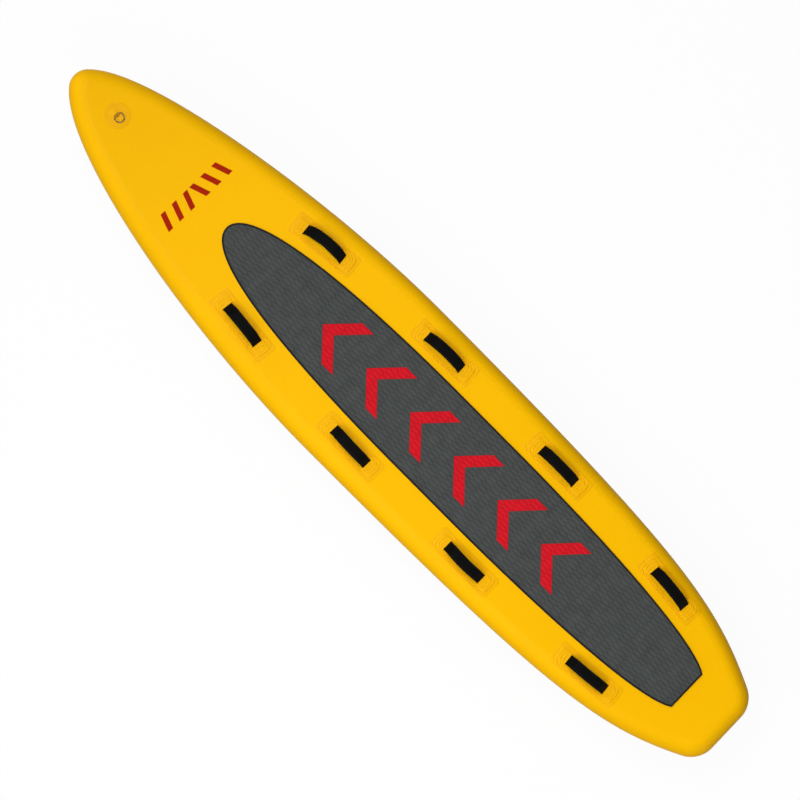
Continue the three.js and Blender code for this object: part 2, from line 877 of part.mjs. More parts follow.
// Collar and flange outside, barrel, seat and spider inside; heights count out of the hull
function valveBodyGeometry() {
  const flange = valveFlangeDiameter / 2;
  const barrel = valveBarrelDiameter / 2;
  const throat = valveThroatDiameter / 2;
  const collar = valveCollarDiameter / 2;
  const seat = valveSeatDiameter / 2;
  const base = clearance;
  const shell = revolved([
    [throat, base + valveFlangeThickness + valveCollarHeight],
    [throat, valveSeatThickness - valveDepth],
    [seat, valveSeatThickness - valveDepth],
    [seat, -valveDepth],
    [barrel, -valveDepth],
    [barrel, base],
    [flange, base],
    [flange, base + valveFlangeThickness],
    [collar, base + valveFlangeThickness],
    [collar, base + valveFlangeThickness + valveCollarHeight],
  ]);
  const hub = turned(valveHubDiameter / 2, valveHubLength).translate(0, 0, hubBottom());
  const spokes = [];
  for (let i = 0; i < valveSpokes; i++) {
    const spoke = block((throat + barrel) / 2, valveSpokeWidth, valveSpokeHeight, 0);
    spoke.translate(0, 0, hubBottom());
    spoke.rotateZ((2 * Math.PI * i) / valveSpokes);
    spokes.push(spoke);
  }
  const bore = turned(plungerDiameter / 2 + plungerRunningGap, 2 * overrun).translate(0, 0, -overrun);
  return cut(joined(shell, hub, ...spokes), bore);
}

function hubBottom() {
  return valveSeatThickness - valveDepth + plungerTravel;
}

function plungerTop() {
  return clearance + valveFlangeThickness + valveCollarHeight - plungerHeadRecess;
}

function plungerGeometry() {
  const sealTop = -valveDepth - clearance;
  const plateTop = sealTop - sealThickness - clearance;
  const stem = turned(plungerDiameter / 2, plungerTop() - plateTop + plungerPlateThickness);
  stem.translate(0, 0, plateTop - plungerPlateThickness);
  const button = turned(plungerButtonDiameter / 2, plungerButtonThickness);
  button.translate(0, 0, plungerTop() - plungerButtonThickness);
  const plateDisc = turned(plungerPlateDiameter / 2, plungerPlateThickness);
  plateDisc.translate(0, 0, plateTop - plungerPlateThickness);
  return joined(stem, button, plateDisc);
}

function springGeometry() {
  const bottom = hubBottom() + valveHubLength + clearance + springWire / 2;
  const top = plungerTop() - plungerButtonThickness - clearance - springWire / 2;
  const radius = (springDiameter - springWire) / 2;
  const steps = springTurns * springStepsPerTurn;
  const rings = [];
  for (let i = 0; i <= steps; i++) {
    const angle = (2 * Math.PI * i) / springStepsPerTurn;
    const height = bottom + ((top - bottom) * i) / steps;
    const ring = [];
    for (let j = 0; j < springSides; j++) {
      const around = (2 * Math.PI * j) / springSides;
      const out = radius + (springWire / 2) * Math.cos(around);
      const up = height + (springWire / 2) * Math.sin(around);
      ring.push(new THREE.Vector3(out * Math.cos(angle), out * Math.sin(angle), up));
    }
    rings.push(ring.reverse());
  }
  return loft(rings);
}

function ringOf(inner, outer, bottom, top) {
  return revolved([
    [inner, top],
    [inner, bottom],
    [outer, bottom],
    [outer, top],
  ]);
}

function capRingBottom() {
  return 2 * clearance + valveFlangeThickness;
}

function capRingGeometry() {
  const inner = valveCollarDiameter / 2 + clearance;
  const bottom = capRingBottom();
  const ring = ringOf(inner, inner + capRingWall, bottom, bottom + capRingThickness);
  const tab = block(
    capDiameter / 2 + capTabReach - inner - capRingWall / 2,
    capTabWidth,
    capRingThickness,
    inner + capRingWall / 2,
    -capTabWidth / 2,
    bottom,
  );
  return joined(ring, tab);
}

function capGeometry() {
  const plug = valveThroatDiameter / 2 - 2 * clearance;
  const seat = clearance + valveFlangeThickness + valveCollarHeight + clearance;
  const skirt = valveCollarDiameter / 2 + clearance;
  const rim = capDiameter / 2;
  const dome = revolved([
    [0, seat + capCrown],
    [0, seat - capPlugDepth],
    [plug, seat - capPlugDepth],
    [plug, seat],
    [skirt, seat],
    [skirt, capRingBottom() + capRingThickness + clearance],
    [rim, capRingBottom() + capRingThickness + clearance],
    [rim, seat],
    [rim - capCrown, seat + capCrown],
  ]);
  const ribs = [];
  for (let i = 0; i < capCrossBars; i++) {
    const rib = block(capRibLength, capRibWidth, capRibHeight + capCrown / 2);
    rib.translate(0, 0, seat + capCrown / 2);
    rib.rotateZ((Math.PI * i) / capCrossBars);
    ribs.push(rib);
  }
  return joined(dome, ...ribs);
}

// Fittings under the board are drawn standing up and turned over
function valve() {
  const group = new THREE.Group();
  group.position.set(valveX(), 0, 0);
  group.rotation.x = Math.PI;
  add(group, "valve_body", valveBodyGeometry(), material(colours.valveGrey, 0.5));
  const nutTop = -skinThickness - clearance;
  const nut = ringOf(valveBarrelDiameter / 2 + clearance, nutDiameter / 2, nutTop - nutThickness, nutTop);
  add(group, "valve_nut", nut, material(colours.valveGrey, 0.5));
  add(group, "valve_plunger", plungerGeometry(), material(colours.valveGrey, 0.4));
  const seal = ringOf(
    plungerDiameter / 2 + clearance,
    sealDiameter / 2,
    -valveDepth - clearance - sealThickness,
    -valveDepth - clearance,
  );
  add(group, "valve_seal", seal, material(colours.seal, 0.8));
  add(group, "valve_spring", springGeometry(), material(colours.steel, 0.3, 1));
  add(group, "valve_cap_ring", capRingGeometry(), material(colours.valveGrey, 0.5));
  add(group, "valve_cap", capGeometry(), material(colours.valveGrey, 0.45));
  return group;
}

// Box with the fin's groove: open towards the nose and along its lower side
function finBoxGeometry() {
  const flangeWidth = finBoxWidth + 2 * finBoxFlange;
  const flangeShape = new THREE.Shape();
  const reach = finBoxLength / 2 + finBoxFlange - flangeWidth / 2;
  flangeShape.absarc(reach, 0, flangeWidth / 2, -Math.PI / 2, Math.PI / 2, false);
  flangeShape.absarc(-reach, 0, flangeWidth / 2, Math.PI / 2, 1.5 * Math.PI, false);
  const flange = new THREE.ExtrudeGeometry(flangeShape, {
    depth: finBoxFlangeThickness,
    bevelEnabled: false,
    curveSegments: tabArcSteps,
  });
  flange.translate(0, 0, clearance);
  const w = finBoxWidth / 2;
  const c = finBoxChamfer;
  const walls = new THREE.Shape();
  walls.moveTo(-w, clearance);
  walls.lineTo(w, clearance);
  walls.lineTo(w, finBoxDepth - c);
  walls.lineTo(w - c, finBoxDepth);
  walls.lineTo(c - w, finBoxDepth);
  walls.lineTo(-w, finBoxDepth - c);
  walls.closePath();
  const body = alongX(walls, finBoxLength, -finBoxLength / 2);
  const grooveStart = finBoxEndWall - finBoxLength / 2;
  const rootTop = finBoxDepth - finRootCover;
  const wide = block(
    finBoxLength,
    finRootWidth + 2 * clearance,
    finRootDepth + 2 * clearance,
    grooveStart,
    -finRootWidth / 2 - clearance,
    rootTop - finRootDepth - clearance,
  );
  const narrow = block(
    finBoxLength,
    finWebThickness + 2 * clearance,
    overrun,
    grooveStart,
    -finWebThickness / 2 - clearance,
    rootTop - finRootDepth / 2,
  );
  return cut(joined(flange, body), wide, narrow);
}

// A section in Y and Z drawn out along X
function alongX(shape, length, start) {
  const geometry = upright(shape, length);
  geometry.rotateX(Math.PI / 2);
  geometry.rotateZ(Math.PI / 2);
  geometry.translate(start, 0, 0);
  return geometry;
}

function finGeometry() {
  const rootTop = finBoxDepth - finRootCover;
  const start = finBoxEndWall + clearance - finBoxLength / 2;
  const root = block(
    finRootLength,
    finRootWidth,
    finRootDepth,
    start,
    -finRootWidth / 2,
    rootTop - finRootDepth,
  );
  const web = block(
    finRootLength,
    finWebThickness,
    finRootCover + finRootDepth / 2 + clearance,
    start,
    -finWebThickness / 2,
    rootTop - finRootDepth / 2,
  );
  const pull = block(
    finPullTab,
    finRootWidth,
    finPullHeight,
    start + finRootLength - finPullTab,
    -finRootWidth / 2,
    finBoxDepth + clearance,
  );
  const b = finEdgeBevelWidth;
  const base = finBoxDepth + clearance;
  const chord = finRootLength - finPullTab - 2 * b;
  const tall = finDepth - base;
  const front = start + finRootLength - finPullTab - b;
  const tipX = front - chord - finRakeShare * chord;
  const tipTop = base + tall - b;
  const at = finEdgeShares;
  const blade = new THREE.Shape();
  blade.moveTo(front, base);
  blade.bezierCurveTo(
    front - at.leadingBack * chord,
    base + at.leadingUp * tall,
    tipX + at.tipLength * chord,
    tipTop,
    tipX + at.tipMiddle * chord,
    tipTop,
  );
  blade.bezierCurveTo(
    tipX,
    tipTop,
    tipX + at.trailingBack * chord,
    base + at.trailingUp * tall,
    front - chord,
    base,
  );
  blade.closePath();
  const thin = finWebThickness - 2 * finEdgeBevel;
  const body = new THREE.ExtrudeGeometry(blade, {
    depth: thin,
    bevelThickness: finEdgeBevel,
    bevelSize: b,
    bevelSegments: 2,
    curveSegments: tabArcSteps,
  });
  body.rotateX(Math.PI / 2);
  body.translate(0, thin / 2, 0);
  const above = block(
    finDepth + finRootLength,
    overrun,
    overrun,
    start - finDepth,
    -overrun / 2,
    base - overrun,
  );
  return joined(root, web, pull, cut(body, above));
}

function fin() {
  const group = new THREE.Group();
  group.position.set(finBoxToTail - halfLength, 0, 0);
  group.rotation.x = Math.PI;
  add(group, "fin_box", finBoxGeometry(), material(colours.finBlack, 0.5));
  add(group, "fin", finGeometry(), material(colours.finBlack, 0.4));
  return group;
}

const board = new THREE.Group();
board.add(hull(), deckPad(), handles(), noseRing(), valve(), fin());

export default board;
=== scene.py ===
import json
import math
import bpy
import bmesh
import numpy as np
from mathutils import Matrix, Vector

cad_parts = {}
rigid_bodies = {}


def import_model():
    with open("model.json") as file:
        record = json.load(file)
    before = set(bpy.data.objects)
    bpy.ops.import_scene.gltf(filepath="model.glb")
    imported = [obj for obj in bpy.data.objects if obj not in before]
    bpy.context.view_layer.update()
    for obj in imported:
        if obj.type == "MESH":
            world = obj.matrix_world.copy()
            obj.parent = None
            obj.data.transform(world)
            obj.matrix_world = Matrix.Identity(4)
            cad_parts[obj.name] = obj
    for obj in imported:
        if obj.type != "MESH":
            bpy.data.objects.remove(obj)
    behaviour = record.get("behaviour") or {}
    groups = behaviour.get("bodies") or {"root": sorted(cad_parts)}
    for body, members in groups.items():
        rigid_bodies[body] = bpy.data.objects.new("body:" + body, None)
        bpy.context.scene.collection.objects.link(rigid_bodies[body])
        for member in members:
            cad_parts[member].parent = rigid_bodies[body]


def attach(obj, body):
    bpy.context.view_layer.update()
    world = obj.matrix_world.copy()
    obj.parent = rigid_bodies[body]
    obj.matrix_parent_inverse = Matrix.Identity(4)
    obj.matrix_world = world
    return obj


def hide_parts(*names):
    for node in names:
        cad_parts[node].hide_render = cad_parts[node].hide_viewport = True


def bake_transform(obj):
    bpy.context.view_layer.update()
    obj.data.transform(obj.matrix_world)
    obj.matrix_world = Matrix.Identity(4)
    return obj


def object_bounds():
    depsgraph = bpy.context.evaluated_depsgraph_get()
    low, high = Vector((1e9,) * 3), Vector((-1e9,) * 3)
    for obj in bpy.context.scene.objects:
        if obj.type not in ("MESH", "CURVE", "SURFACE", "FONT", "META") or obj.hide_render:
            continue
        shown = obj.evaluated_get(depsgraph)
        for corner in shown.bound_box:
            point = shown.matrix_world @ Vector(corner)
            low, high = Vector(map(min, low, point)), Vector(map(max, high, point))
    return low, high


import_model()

from types import SimpleNamespace

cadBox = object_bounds()
mm = 0.001  # sizes below are millimetres, meshes are metres
weldDistance = 1e-6  # metres


def say(stage):
    print("rescue board:", stage)


def named(sizes):
    # a settings dictionary's entries as plain names
    return SimpleNamespace(**sizes)


# making, changing and placing pieces
def linked(name, data):
    piece = bpy.data.objects.new(name, data)
    bpy.context.scene.collection.objects.link(piece)
    return piece


def makePiece(name, points, faces, finishName, smooth=True, sharp=None):
    mesh = bpy.data.meshes.new(name)
    mesh.from_pydata([tuple(p) for p in np.asarray(points, float) * mm], [], [tuple(f) for f in faces])
    return finishPiece(name, mesh, finishName, smooth, sharp)


def finishPiece(name, mesh, finishName, smooth=True, sharp=None):
    bm = bmesh.new()
    bm.from_mesh(mesh)
    bmesh.ops.remove_doubles(bm, verts=bm.verts, dist=weldDistance)
    bmesh.ops.dissolve_degenerate(bm, edges=bm.edges, dist=weldDistance)
    bmesh.ops.recalc_face_normals(bm, faces=bm.faces)
    for face in bm.faces:
        face.smooth = smooth
    if sharp:  # edges sharper than this many degrees stay crisp
        for edge in bm.edges:
            if len(edge.link_faces) == 2 and edge.calc_face_angle(0) > math.radians(sharp):
                edge.smooth = False
    bm.to_mesh(mesh)
    bm.free()
    mesh.materials.clear()
    mesh.materials.append(finishes[finishName])
    return linked(name, mesh)


def discard(*pieces):
    for piece in pieces:
        mesh = piece.data
        bpy.data.objects.remove(piece)
        bpy.data.meshes.remove(mesh)


def pointsOf(mesh):
    co = np.empty(len(mesh.vertices) * 3)
    mesh.vertices.foreach_get("co", co)
    return co.reshape(-1, 3) / mm


def movePoints(piece, shape):
    piece.data.vertices.foreach_set("co", (shape(pointsOf(piece.data)) * mm).ravel())
    piece.data.update()


def reshaped(name, master, shape):
    # a copy of a master piece with its points moved
    piece = linked(name, master.data.copy())
    piece.data.name = name
    movePoints(piece, shape)
    return piece


def settle(piece, body, slotName, *nodes):
    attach(piece, body)
    if nodes:
        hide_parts(*nodes)


def placed(piece, shape, body, slotName, nodeName):
    # a piece drawn at the origin, moved to its place and hung on its body
    movePoints(piece, shape)
    settle(piece, body, slotName, nodeName)


def bakedMesh(piece):
    bpy.context.view_layer.update()
    graph = bpy.context.evaluated_depsgraph_get()
    return bpy.data.meshes.new_from_object(piece.evaluated_get(graph))


def cutWith(piece, tool, how):
    # the tool is used up
    modifier = piece.modifiers.new("cut", "BOOLEAN")
    modifier.operation, modifier.solver, modifier.object = how, "EXACT", tool
    result = bakedMesh(piece)
    piece.modifiers.clear()
    old = piece.data
    piece.data = result
    bpy.data.meshes.remove(old)
    discard(tool)
    return piece


# forms, as points and faces
def circle(count):
    # cosine and sine of equal steps once round
    turns = [2 * math.pi * k / count for k in range(count)]
    return [(math.cos(a), math.sin(a)) for a in turns]


def turned(points, angle):
    c, s = math.cos(angle), math.sin(angle)
    return np.c_[points[:, 0] * c - points[:, 1] * s, points[:, 0] * s + points[:, 1] * c, points[:, 2]]


def skinRings(rings, closedAlong=False, caps=True):
    # faces between rings of points that have the same count
    rings = [np.asarray(ring, float) for ring in rings]
    size = len(rings[0])
    points = np.vstack(rings)
    faces = []
    spans = len(rings) if closedAlong else len(rings) - 1
    for i in range(spans):
        a, b = i * size, ((i + 1) % len(rings)) * size
        for j in range(size):
            k = (j + 1) % size
            faces.append((a + j, a + k, b + k, b + j))
    if caps and not closedAlong:
        faces.append(tuple(range(size))[::-1])
        last = (len(rings) - 1) * size
        faces.append(tuple(last + j for j in range(size)))
    return points, faces


def revolve(profile, sides, x=0):
    # radius and height pairs turned about an upright line
    rings = [[(x + radius * c, radius * s, z) for radius, z in profile] for c, s in circle(sides)]
    return skinRings(rings, closedAlong=True)


def prism(outline, low, high):
    # a plan outline drawn up between two heights
    return skinRings([[(x, y, low) for x, y in outline], [(x, y, high) for x, y in outline]])


def sheet(half, low, high, across):
    # a thin sheet on the deck's rise, nose to tail, from its port outline
    rings = []
    for x, y in half:
        ys = np.linspace(-y, y, across + 1)
        xs = np.full_like(ys, x)
        rings.append(np.vstack([np.c_[xs, ys, high + lift(xs)], np.c_[xs, ys, low + lift(xs)][::-1]]))
    return skinRings(rings)


def merged(parts):
    points, faces, base = [], [], 0
    for partPoints, partFaces in parts:
        points.append(np.asarray(partPoints, float))
        faces += [tuple(i + base for i in face) for face in partFaces]
        base += len(partPoints)
    return np.vstack(points), faces


def blockTool(name, low, high, finishName):
    xs, ys, zs = zip(low, high)
    rings = [[(x, ys[0], zs[0]), (x, ys[1], zs[0]), (x, ys[1], zs[1]), (x, ys[0], zs[1])] for x in xs]
    return makePiece(name, *skinRings(rings), finishName, smooth=False)


def polar(length, angle):
    return np.array([length * math.cos(angle), length * math.sin(angle)])


def bezier(p0, p1, p2, p3, steps):
    # points of a curve and its outward normals
    t = np.linspace(0, 1, steps + 1)[:, None]
    at = (1 - t) ** 3 * p0 + 3 * (1 - t) ** 2 * t * p1 + 3 * (1 - t) * t * t * p2 + t ** 3 * p3
    way = (1 - t) ** 2 * (p1 - p0) + 2 * (1 - t) * t * (p2 - p1) + t * t * (p3 - p2)
    way /= np.linalg.norm(way, axis=1)[:, None]
    return at, np.c_[way[:, 1], -way[:, 0]]


def arc(centre, radius, start, end, steps):
    angle = np.linspace(start, end, steps + 1)
    out = np.c_[np.cos(angle), np.sin(angle)]
    return centre + radius * out, out


# the hull's form, as in the CAD
hullSizes = {
    "length": 3810.0, "width": 806.0, "thickness": 150.0,
    "tipRadius": 5.0, "sideAngle": 48.6, "noseHandle": 0.0626, "noseWaist": 0.1839,
    "widestFront": 0.4563, "widestRear": 0.466, "tailWaist": 0.3818, "tailHandle": 0.09,
    "tailAngle": 26.2, "cornerRadius": 47.2, "tailEdge": 175.5,
    "noseLift": 77.0, "noseLiftStart": 859.9205, "noseLiftPower": 2.2,
    "tailLift": 12.0, "tailLiftStart": -1560.0, "tailLiftPower": 2.0,
    "skin": 1.2, "tapeStep": 0.15, "tapeAngle": 15.0, "tapeRun": 0.5, "tapeFade": 0.6,
    "valveX": 855.0, "valveHole": 20.3,  # from the tail, and its radius
}
halfLength = hullSizes["length"] / 2
halfWidth = hullSizes["width"] / 2
deckTop = hullSizes["thickness"]
railRadius = hullSizes["thickness"] / 2
valveX = hullSizes["valveX"] - halfLength


def lift(x):
    # how far nose and tail rise
    x = np.asarray(x, float)
    nose = np.maximum(0, x - hullSizes["noseLiftStart"]) / (halfLength - hullSizes["noseLiftStart"])
    tail = np.maximum(0, hullSizes["tailLiftStart"] - x) / (halfLength + hullSizes["tailLiftStart"])
    noseRise = hullSizes["noseLift"] * nose ** hullSizes["noseLiftPower"]
    return noseRise + hullSizes["tailLift"] * tail ** hullSizes["tailLiftPower"]


def faceStations(tip=8, front=70, waist=2, rear=70, corner=12):
    # port half of the flat faces' outline with its outward normals, nose to tail
    h = named(hullSizes)
    noseX = halfLength - railRadius
    faceLength = 2 * noseX
    halfFace = halfWidth - railRadius
    flare, taper = math.radians(h.sideAngle), math.radians(h.tailAngle)
    tipAt = np.array([noseX - h.tipRadius, 0.0])
    noseWaist = np.array([noseX - h.widestFront * faceLength, halfFace])
    tailWaist = np.array([noseX - h.widestRear * faceLength, halfFace])
    cornerAt = np.array([-noseX + h.cornerRadius, h.tailEdge / 2])
    shoulder = tipAt + polar(h.tipRadius, math.pi / 2 - flare)
    hip = cornerAt + polar(h.cornerRadius, math.pi / 2 + taper)
    straight = noseWaist + (tailWaist - noseWaist) * np.linspace(0, 1, waist + 1)[:, None]
    runs = [
        arc(tipAt, h.tipRadius, 0, math.pi / 2 - flare, tip),
        bezier(shoulder, shoulder + polar(h.noseHandle * faceLength, math.pi - flare),
               noseWaist + polar(h.noseWaist * faceLength, 0), noseWaist, front),
        (straight, np.tile([[0.0, 1.0]], (waist + 1, 1))),
        bezier(tailWaist, tailWaist + polar(h.tailWaist * faceLength, math.pi),
               hip + polar(h.tailHandle * faceLength, taper), hip, rear),
        arc(cornerAt, h.cornerRadius, math.pi / 2 + taper, math.pi, corner),
    ]
    return [np.vstack([runs[0][k]] + [run[k][1:] for run in runs[1:]]) for k in (0, 1)]


stationAt, stationOut = faceStations()
fineAt, fineOut = faceStations(30, 300, 4, 300, 40)


def railDrop(x, y):
    # how far the rounded rail lies below the deck at places in plan
    x, y = np.asarray(x, float), np.abs(np.asarray(y, float))
    flat = np.c_[x.ravel(), y.ravel()]
    near = ((flat[:, None, :] - fineAt[None]) ** 2).sum(2).argmin(1)
    beyond = ((flat - fineAt[near]) * fineOut[near]).sum(1)
    beyond = np.clip(beyond, 0, railRadius - 1)
    return (railRadius - np.sqrt(railRadius ** 2 - beyond ** 2)).reshape(x.shape)


# nodes
def feed(tree, value, socket):
    if isinstance(value, bpy.types.NodeSocket):
        tree.links.new(value, socket)
    else:
        socket.default_value = value


def addNode(tree, kind, inputs=None, **settings):
    # a node with its settings, and with values or links for its inputs
    node = tree.nodes.new(kind)
    for key, value in settings.items():
        setattr(node, key, value)
    for name, value in (inputs or {}).items():
        feed(tree, value, node.inputs[name])
    return node


def maths(tree, operation, a, b):
    return addNode(tree, "ShaderNodeMath", {0: a, 1: b}, operation=operation).outputs["Value"]


def xyz(tree, x, y, z):
    return addNode(tree, "ShaderNodeCombineXYZ", {"X": x, "Y": y, "Z": z}).outputs["Vector"]


def finish(name, colour, spread=0.06, patchScale=9.0, grain=700.0, grainDepth=0.25, grainBump=0.15,
           rough=(0.4, 0.5), metallic=0.0, specular=0.5, coat=0.0, weave=None, stretch=(1, 1, 1)):
    # colour that drifts a little, a fine grain or weave, and a roughness that follows the drift
    material = bpy.data.materials.new(name)
    material.use_nodes = True
    tree = material.node_tree
    place = addNode(tree, "ShaderNodeTexCoord").outputs["Object"]
    mapped = addNode(tree, "ShaderNodeMapping", {"Vector": place, "Scale": stretch}).outputs["Vector"]
    drift = addNode(tree, "ShaderNodeTexNoise", {"Vector": mapped, "Scale": patchScale, "Detail": 4})
    drift = drift.outputs["Fac"]
    ramp = addNode(tree, "ShaderNodeValToRGB", {"Fac": drift})
    for end, position, share in zip(ramp.color_ramp.elements, (0.3, 0.7), (1 - spread, 1 + spread)):
        end.position, end.color = position, [min(1, c * share) for c in colour] + [1]
    if weave:
        fine = weaveOf(tree, mapped, weave)
    else:
        fine = addNode(tree, "ShaderNodeTexNoise", {"Vector": mapped, "Scale": grain, "Detail": 3})
        fine = fine.outputs["Fac"]
    shade = addNode(tree, "ShaderNodeMix", {"Factor": grainDepth, "A": ramp.outputs["Color"], "B": fine},
                    data_type="RGBA", blend_type="MULTIPLY")
    gloss = addNode(tree, "ShaderNodeMapRange", {"Value": drift, "To Min": rough[0], "To Max": rough[1]})
    bump = addNode(tree, "ShaderNodeBump", {"Strength": grainBump, "Distance": 0.0004, "Height": fine})
    looks = {"Base Color": shade.outputs["Result"], "Roughness": gloss.outputs["Result"],
             "Normal": bump.outputs["Normal"], "Metallic": metallic, "Specular IOR Level": specular,
             "Coat Weight": coat}
    for socketName, value in looks.items():
        feed(tree, value, tree.nodes["Principled BSDF"].inputs[socketName])
    return material


def weaveOf(tree, mapped, pitch):
    # two crossed waves: threads over and under
    fullTurn = 6.283
    waves = []
    for axis in ("X", "Y"):
        wave = addNode(tree, "ShaderNodeTexWave", {
            "Scale": 1 / (pitch * mm) / fullTurn * math.pi, "Distortion": 0.3, "Vector": mapped},
            bands_direction=axis)
        waves.append(wave.outputs["Fac"])
    return maths(tree, "MAXIMUM", *waves)


yellow = (0.95, 0.50, 0.0005)
coated = {"weave": 1.3, "grainDepth": 0.08, "grainBump": 0.12}
cell = {"patchScale": 20.0, "grain": 900.0, "grainDepth": 0.3, "grainBump": 0.5}
metal = {"spread": 0.05, "patchScale": 80.0, "grain": 1200.0, "grainDepth": 0.1, "grainBump": 0.04,
         "metallic": 1.0}
finishes = {
    "hull": finish("coated fabric deck", yellow, 0.015, 3.0, rough=(0.42, 0.5), specular=0.03, **coated),
    "rail": finish("coated fabric rail tape", yellow, 0.02, 4.0, grain=900.0, grainDepth=0.06, grainBump=0.1,
                   rough=(0.38, 0.46), specular=0.04),
    "patch": finish("coated fabric patch", (0.9, 0.452, 0.0005), 0.02, 14.0, rough=(0.4, 0.48),
                    specular=0.06, **coated),
    # the tab's own tan colour, darkened further as painted shade round the ring's bar
    "tab": finish("coated webbing tab with painted shade", (0.5, 0.225, 0.004), 0.05, 60.0, weave=1.1, grainDepth=0.25,
                  grainBump=0.5, rough=(0.5, 0.6), specular=0.2),
    "mark": finish("printed red ink", (0.385, 0.014, 0.001), 0.08, 30.0, grainDepth=0.1, weave=1.3,
                   grainBump=0.1, rough=(0.45, 0.55), specular=0.03),
    "foam": finish("grey foam", (0.0755, 0.082, 0.079), 0.1, rough=(0.75, 0.9), specular=0.12, **cell),
    "foamRed": finish("red foam", (0.7, 0.01, 0.02), 0.05, 20.0, grain=900.0, grainDepth=0.2, grainBump=0.5,
                      rough=(0.75, 0.9), specular=0.1),
    # darker copy of the grey foam for the grooves between the cells: painted shade in the recesses
    "groove": finish("grey foam with painted groove shade", (0.062, 0.068, 0.066), 0.12, rough=(0.8, 0.95), specular=0.08, **cell),
    # darker copy of the red foam for the grooves between the arrows' cells: painted shade in the recesses
    "grooveRed": finish("red foam with painted groove shade", (0.6, 0.009, 0.018), 0.08, 20.0, grain=900.0, grainDepth=0.25,
                        grainBump=0.5, rough=(0.8, 0.95), specular=0.08),
    "foamEdge": finish("black foam edge", (0.006, 0.006, 0.0065), 0.2, 30.0, grain=900.0, grainDepth=0.3,
                       grainBump=0.4, rough=(0.7, 0.85), specular=0.2),
    "webbing": finish("black webbing", (0.003, 0.003, 0.0032), 0.2, 60.0, weave=1.4, grainDepth=0.5,
                      grainBump=0.8, rough=(0.6, 0.75), specular=0.04),
    "neoprene": finish("black neoprene", (0.0016, 0.0016, 0.0018), 0.2, 40.0, grain=1400.0, grainDepth=0.3,
                       grainBump=0.35, rough=(0.5, 0.62), specular=0.04),
    "thread": finish("grey thread", (0.02, 0.02, 0.021), 0.2, 300.0, grain=3000.0, grainBump=0.4,
                     rough=(0.5, 0.6), specular=0.3),
    # dark olive base instead of steel grey: painted reflection of the yellow deck and of the studio's dark
    # parts
    "steel": finish("stainless wire", (0.15, 0.112, 0.05), rough=(0.2, 0.32), stretch=(1, 1, 4), **metal),
    "spring": finish("spring steel", (0.42, 0.42, 0.41), rough=(0.25, 0.38), **metal),
    "valve": finish("grey moulded nylon", (0.26, 0.28, 0.29), 0.06, 40.0, grain=1600.0, grainDepth=0.1,
                    grainBump=0.15, rough=(0.4, 0.55), specular=0.4),
    "seal": finish("black moulded rubber", (0.012, 0.012, 0.012), 0.1, 60.0, grain=1600.0, grainBump=0.2,
                   rough=(0.6, 0.75), specular=0.3),
    "finBox": finish("black moulded vinyl", (0.016, 0.016, 0.017), 0.12, 30.0, grain=1300.0, grainBump=0.25,
                     rough=(0.45, 0.6), specular=0.4),
    "fin": finish("black moulded nylon", (0.012, 0.012, 0.0135), 0.12, 25.0, grain=1100.0, grainBump=0.1,
                  rough=(0.25, 0.4), specular=0.5, coat=0.15),
    "chamber": finish("drop-stitch fabric", (0.8, 0.76, 0.66), 0.05, 20.0, weave=2.0, grainBump=0.4,
                      rough=(0.7, 0.85), specular=0.2),
}
say("materials made")

# camera, lamps, room and floor
studio = {
    "cameraAt": (0.18134, 1.26201, 9.22346),
    "right": (-0.704865, -0.700757, 0.110025),
    "down": (-0.709138, 0.699847, -0.085654),
    "ahead": (-0.016978, -0.138397, -0.990231),
    "focalPixels": 2234.5, "framePixels": 800.0, "farEnd": 100.0,
    "brightSide": (0.9, 0.4, 0.2), "ambient": (0.0, 1.0), "ambientFrom": (-0.5, 0.65),
    "floorDrop": 0.0008, "floorSize": 40.0, "floorShadow": 0.06, "floorBounce": 0.08, "floorTone": 0.9,
}
lamps = {  # place, size and power
    "top lamp": ((1.9, -0.1, 6.0), 1.6, 98.0),
    "port lamp": ((-0.9, 2.2, 3.6), 3.0, 66.0),
    "stern lamp": ((-4.5, 0.6, 0.7), 1.2, 16.0),
}
camera = linked("camera", bpy.data.cameras.new("camera"))
aim = Matrix((studio["right"], [-c for c in studio["down"]], [-c for c in studio["ahead"]])).transposed()
camera.matrix_world = Matrix.Translation(studio["cameraAt"]) @ aim.to_4x4()
camera.data.angle = 2 * math.atan(studio["framePixels"] / 2 / studio["focalPixels"])
camera.data.clip_end = studio["farEnd"]
bpy.context.scene.camera = camera
bpy.context.scene.view_settings.view_transform = "Standard"

for lampName, (lampAt, lampSize, lampPower) in lamps.items():
    lamp = linked(lampName, bpy.data.lights.new(lampName, "AREA"))
    lamp.data.size, lamp.data.energy = lampSize, lampPower
    lamp.location = lampAt
    lamp.rotation_euler = (-Vector(lampAt)).to_track_quat("-Z", "Y").to_euler()


def whiteForCamera(tree):
    # 1 for camera, glossy and transmission rays
    rays = addNode(tree, "ShaderNodeLightPath").outputs
    seen = maths(tree, "MAXIMUM", rays["Is Camera Ray"], rays["Is Glossy Ray"])
    return maths(tree, "MAXIMUM", seen, rays["Is Transmission Ray"])


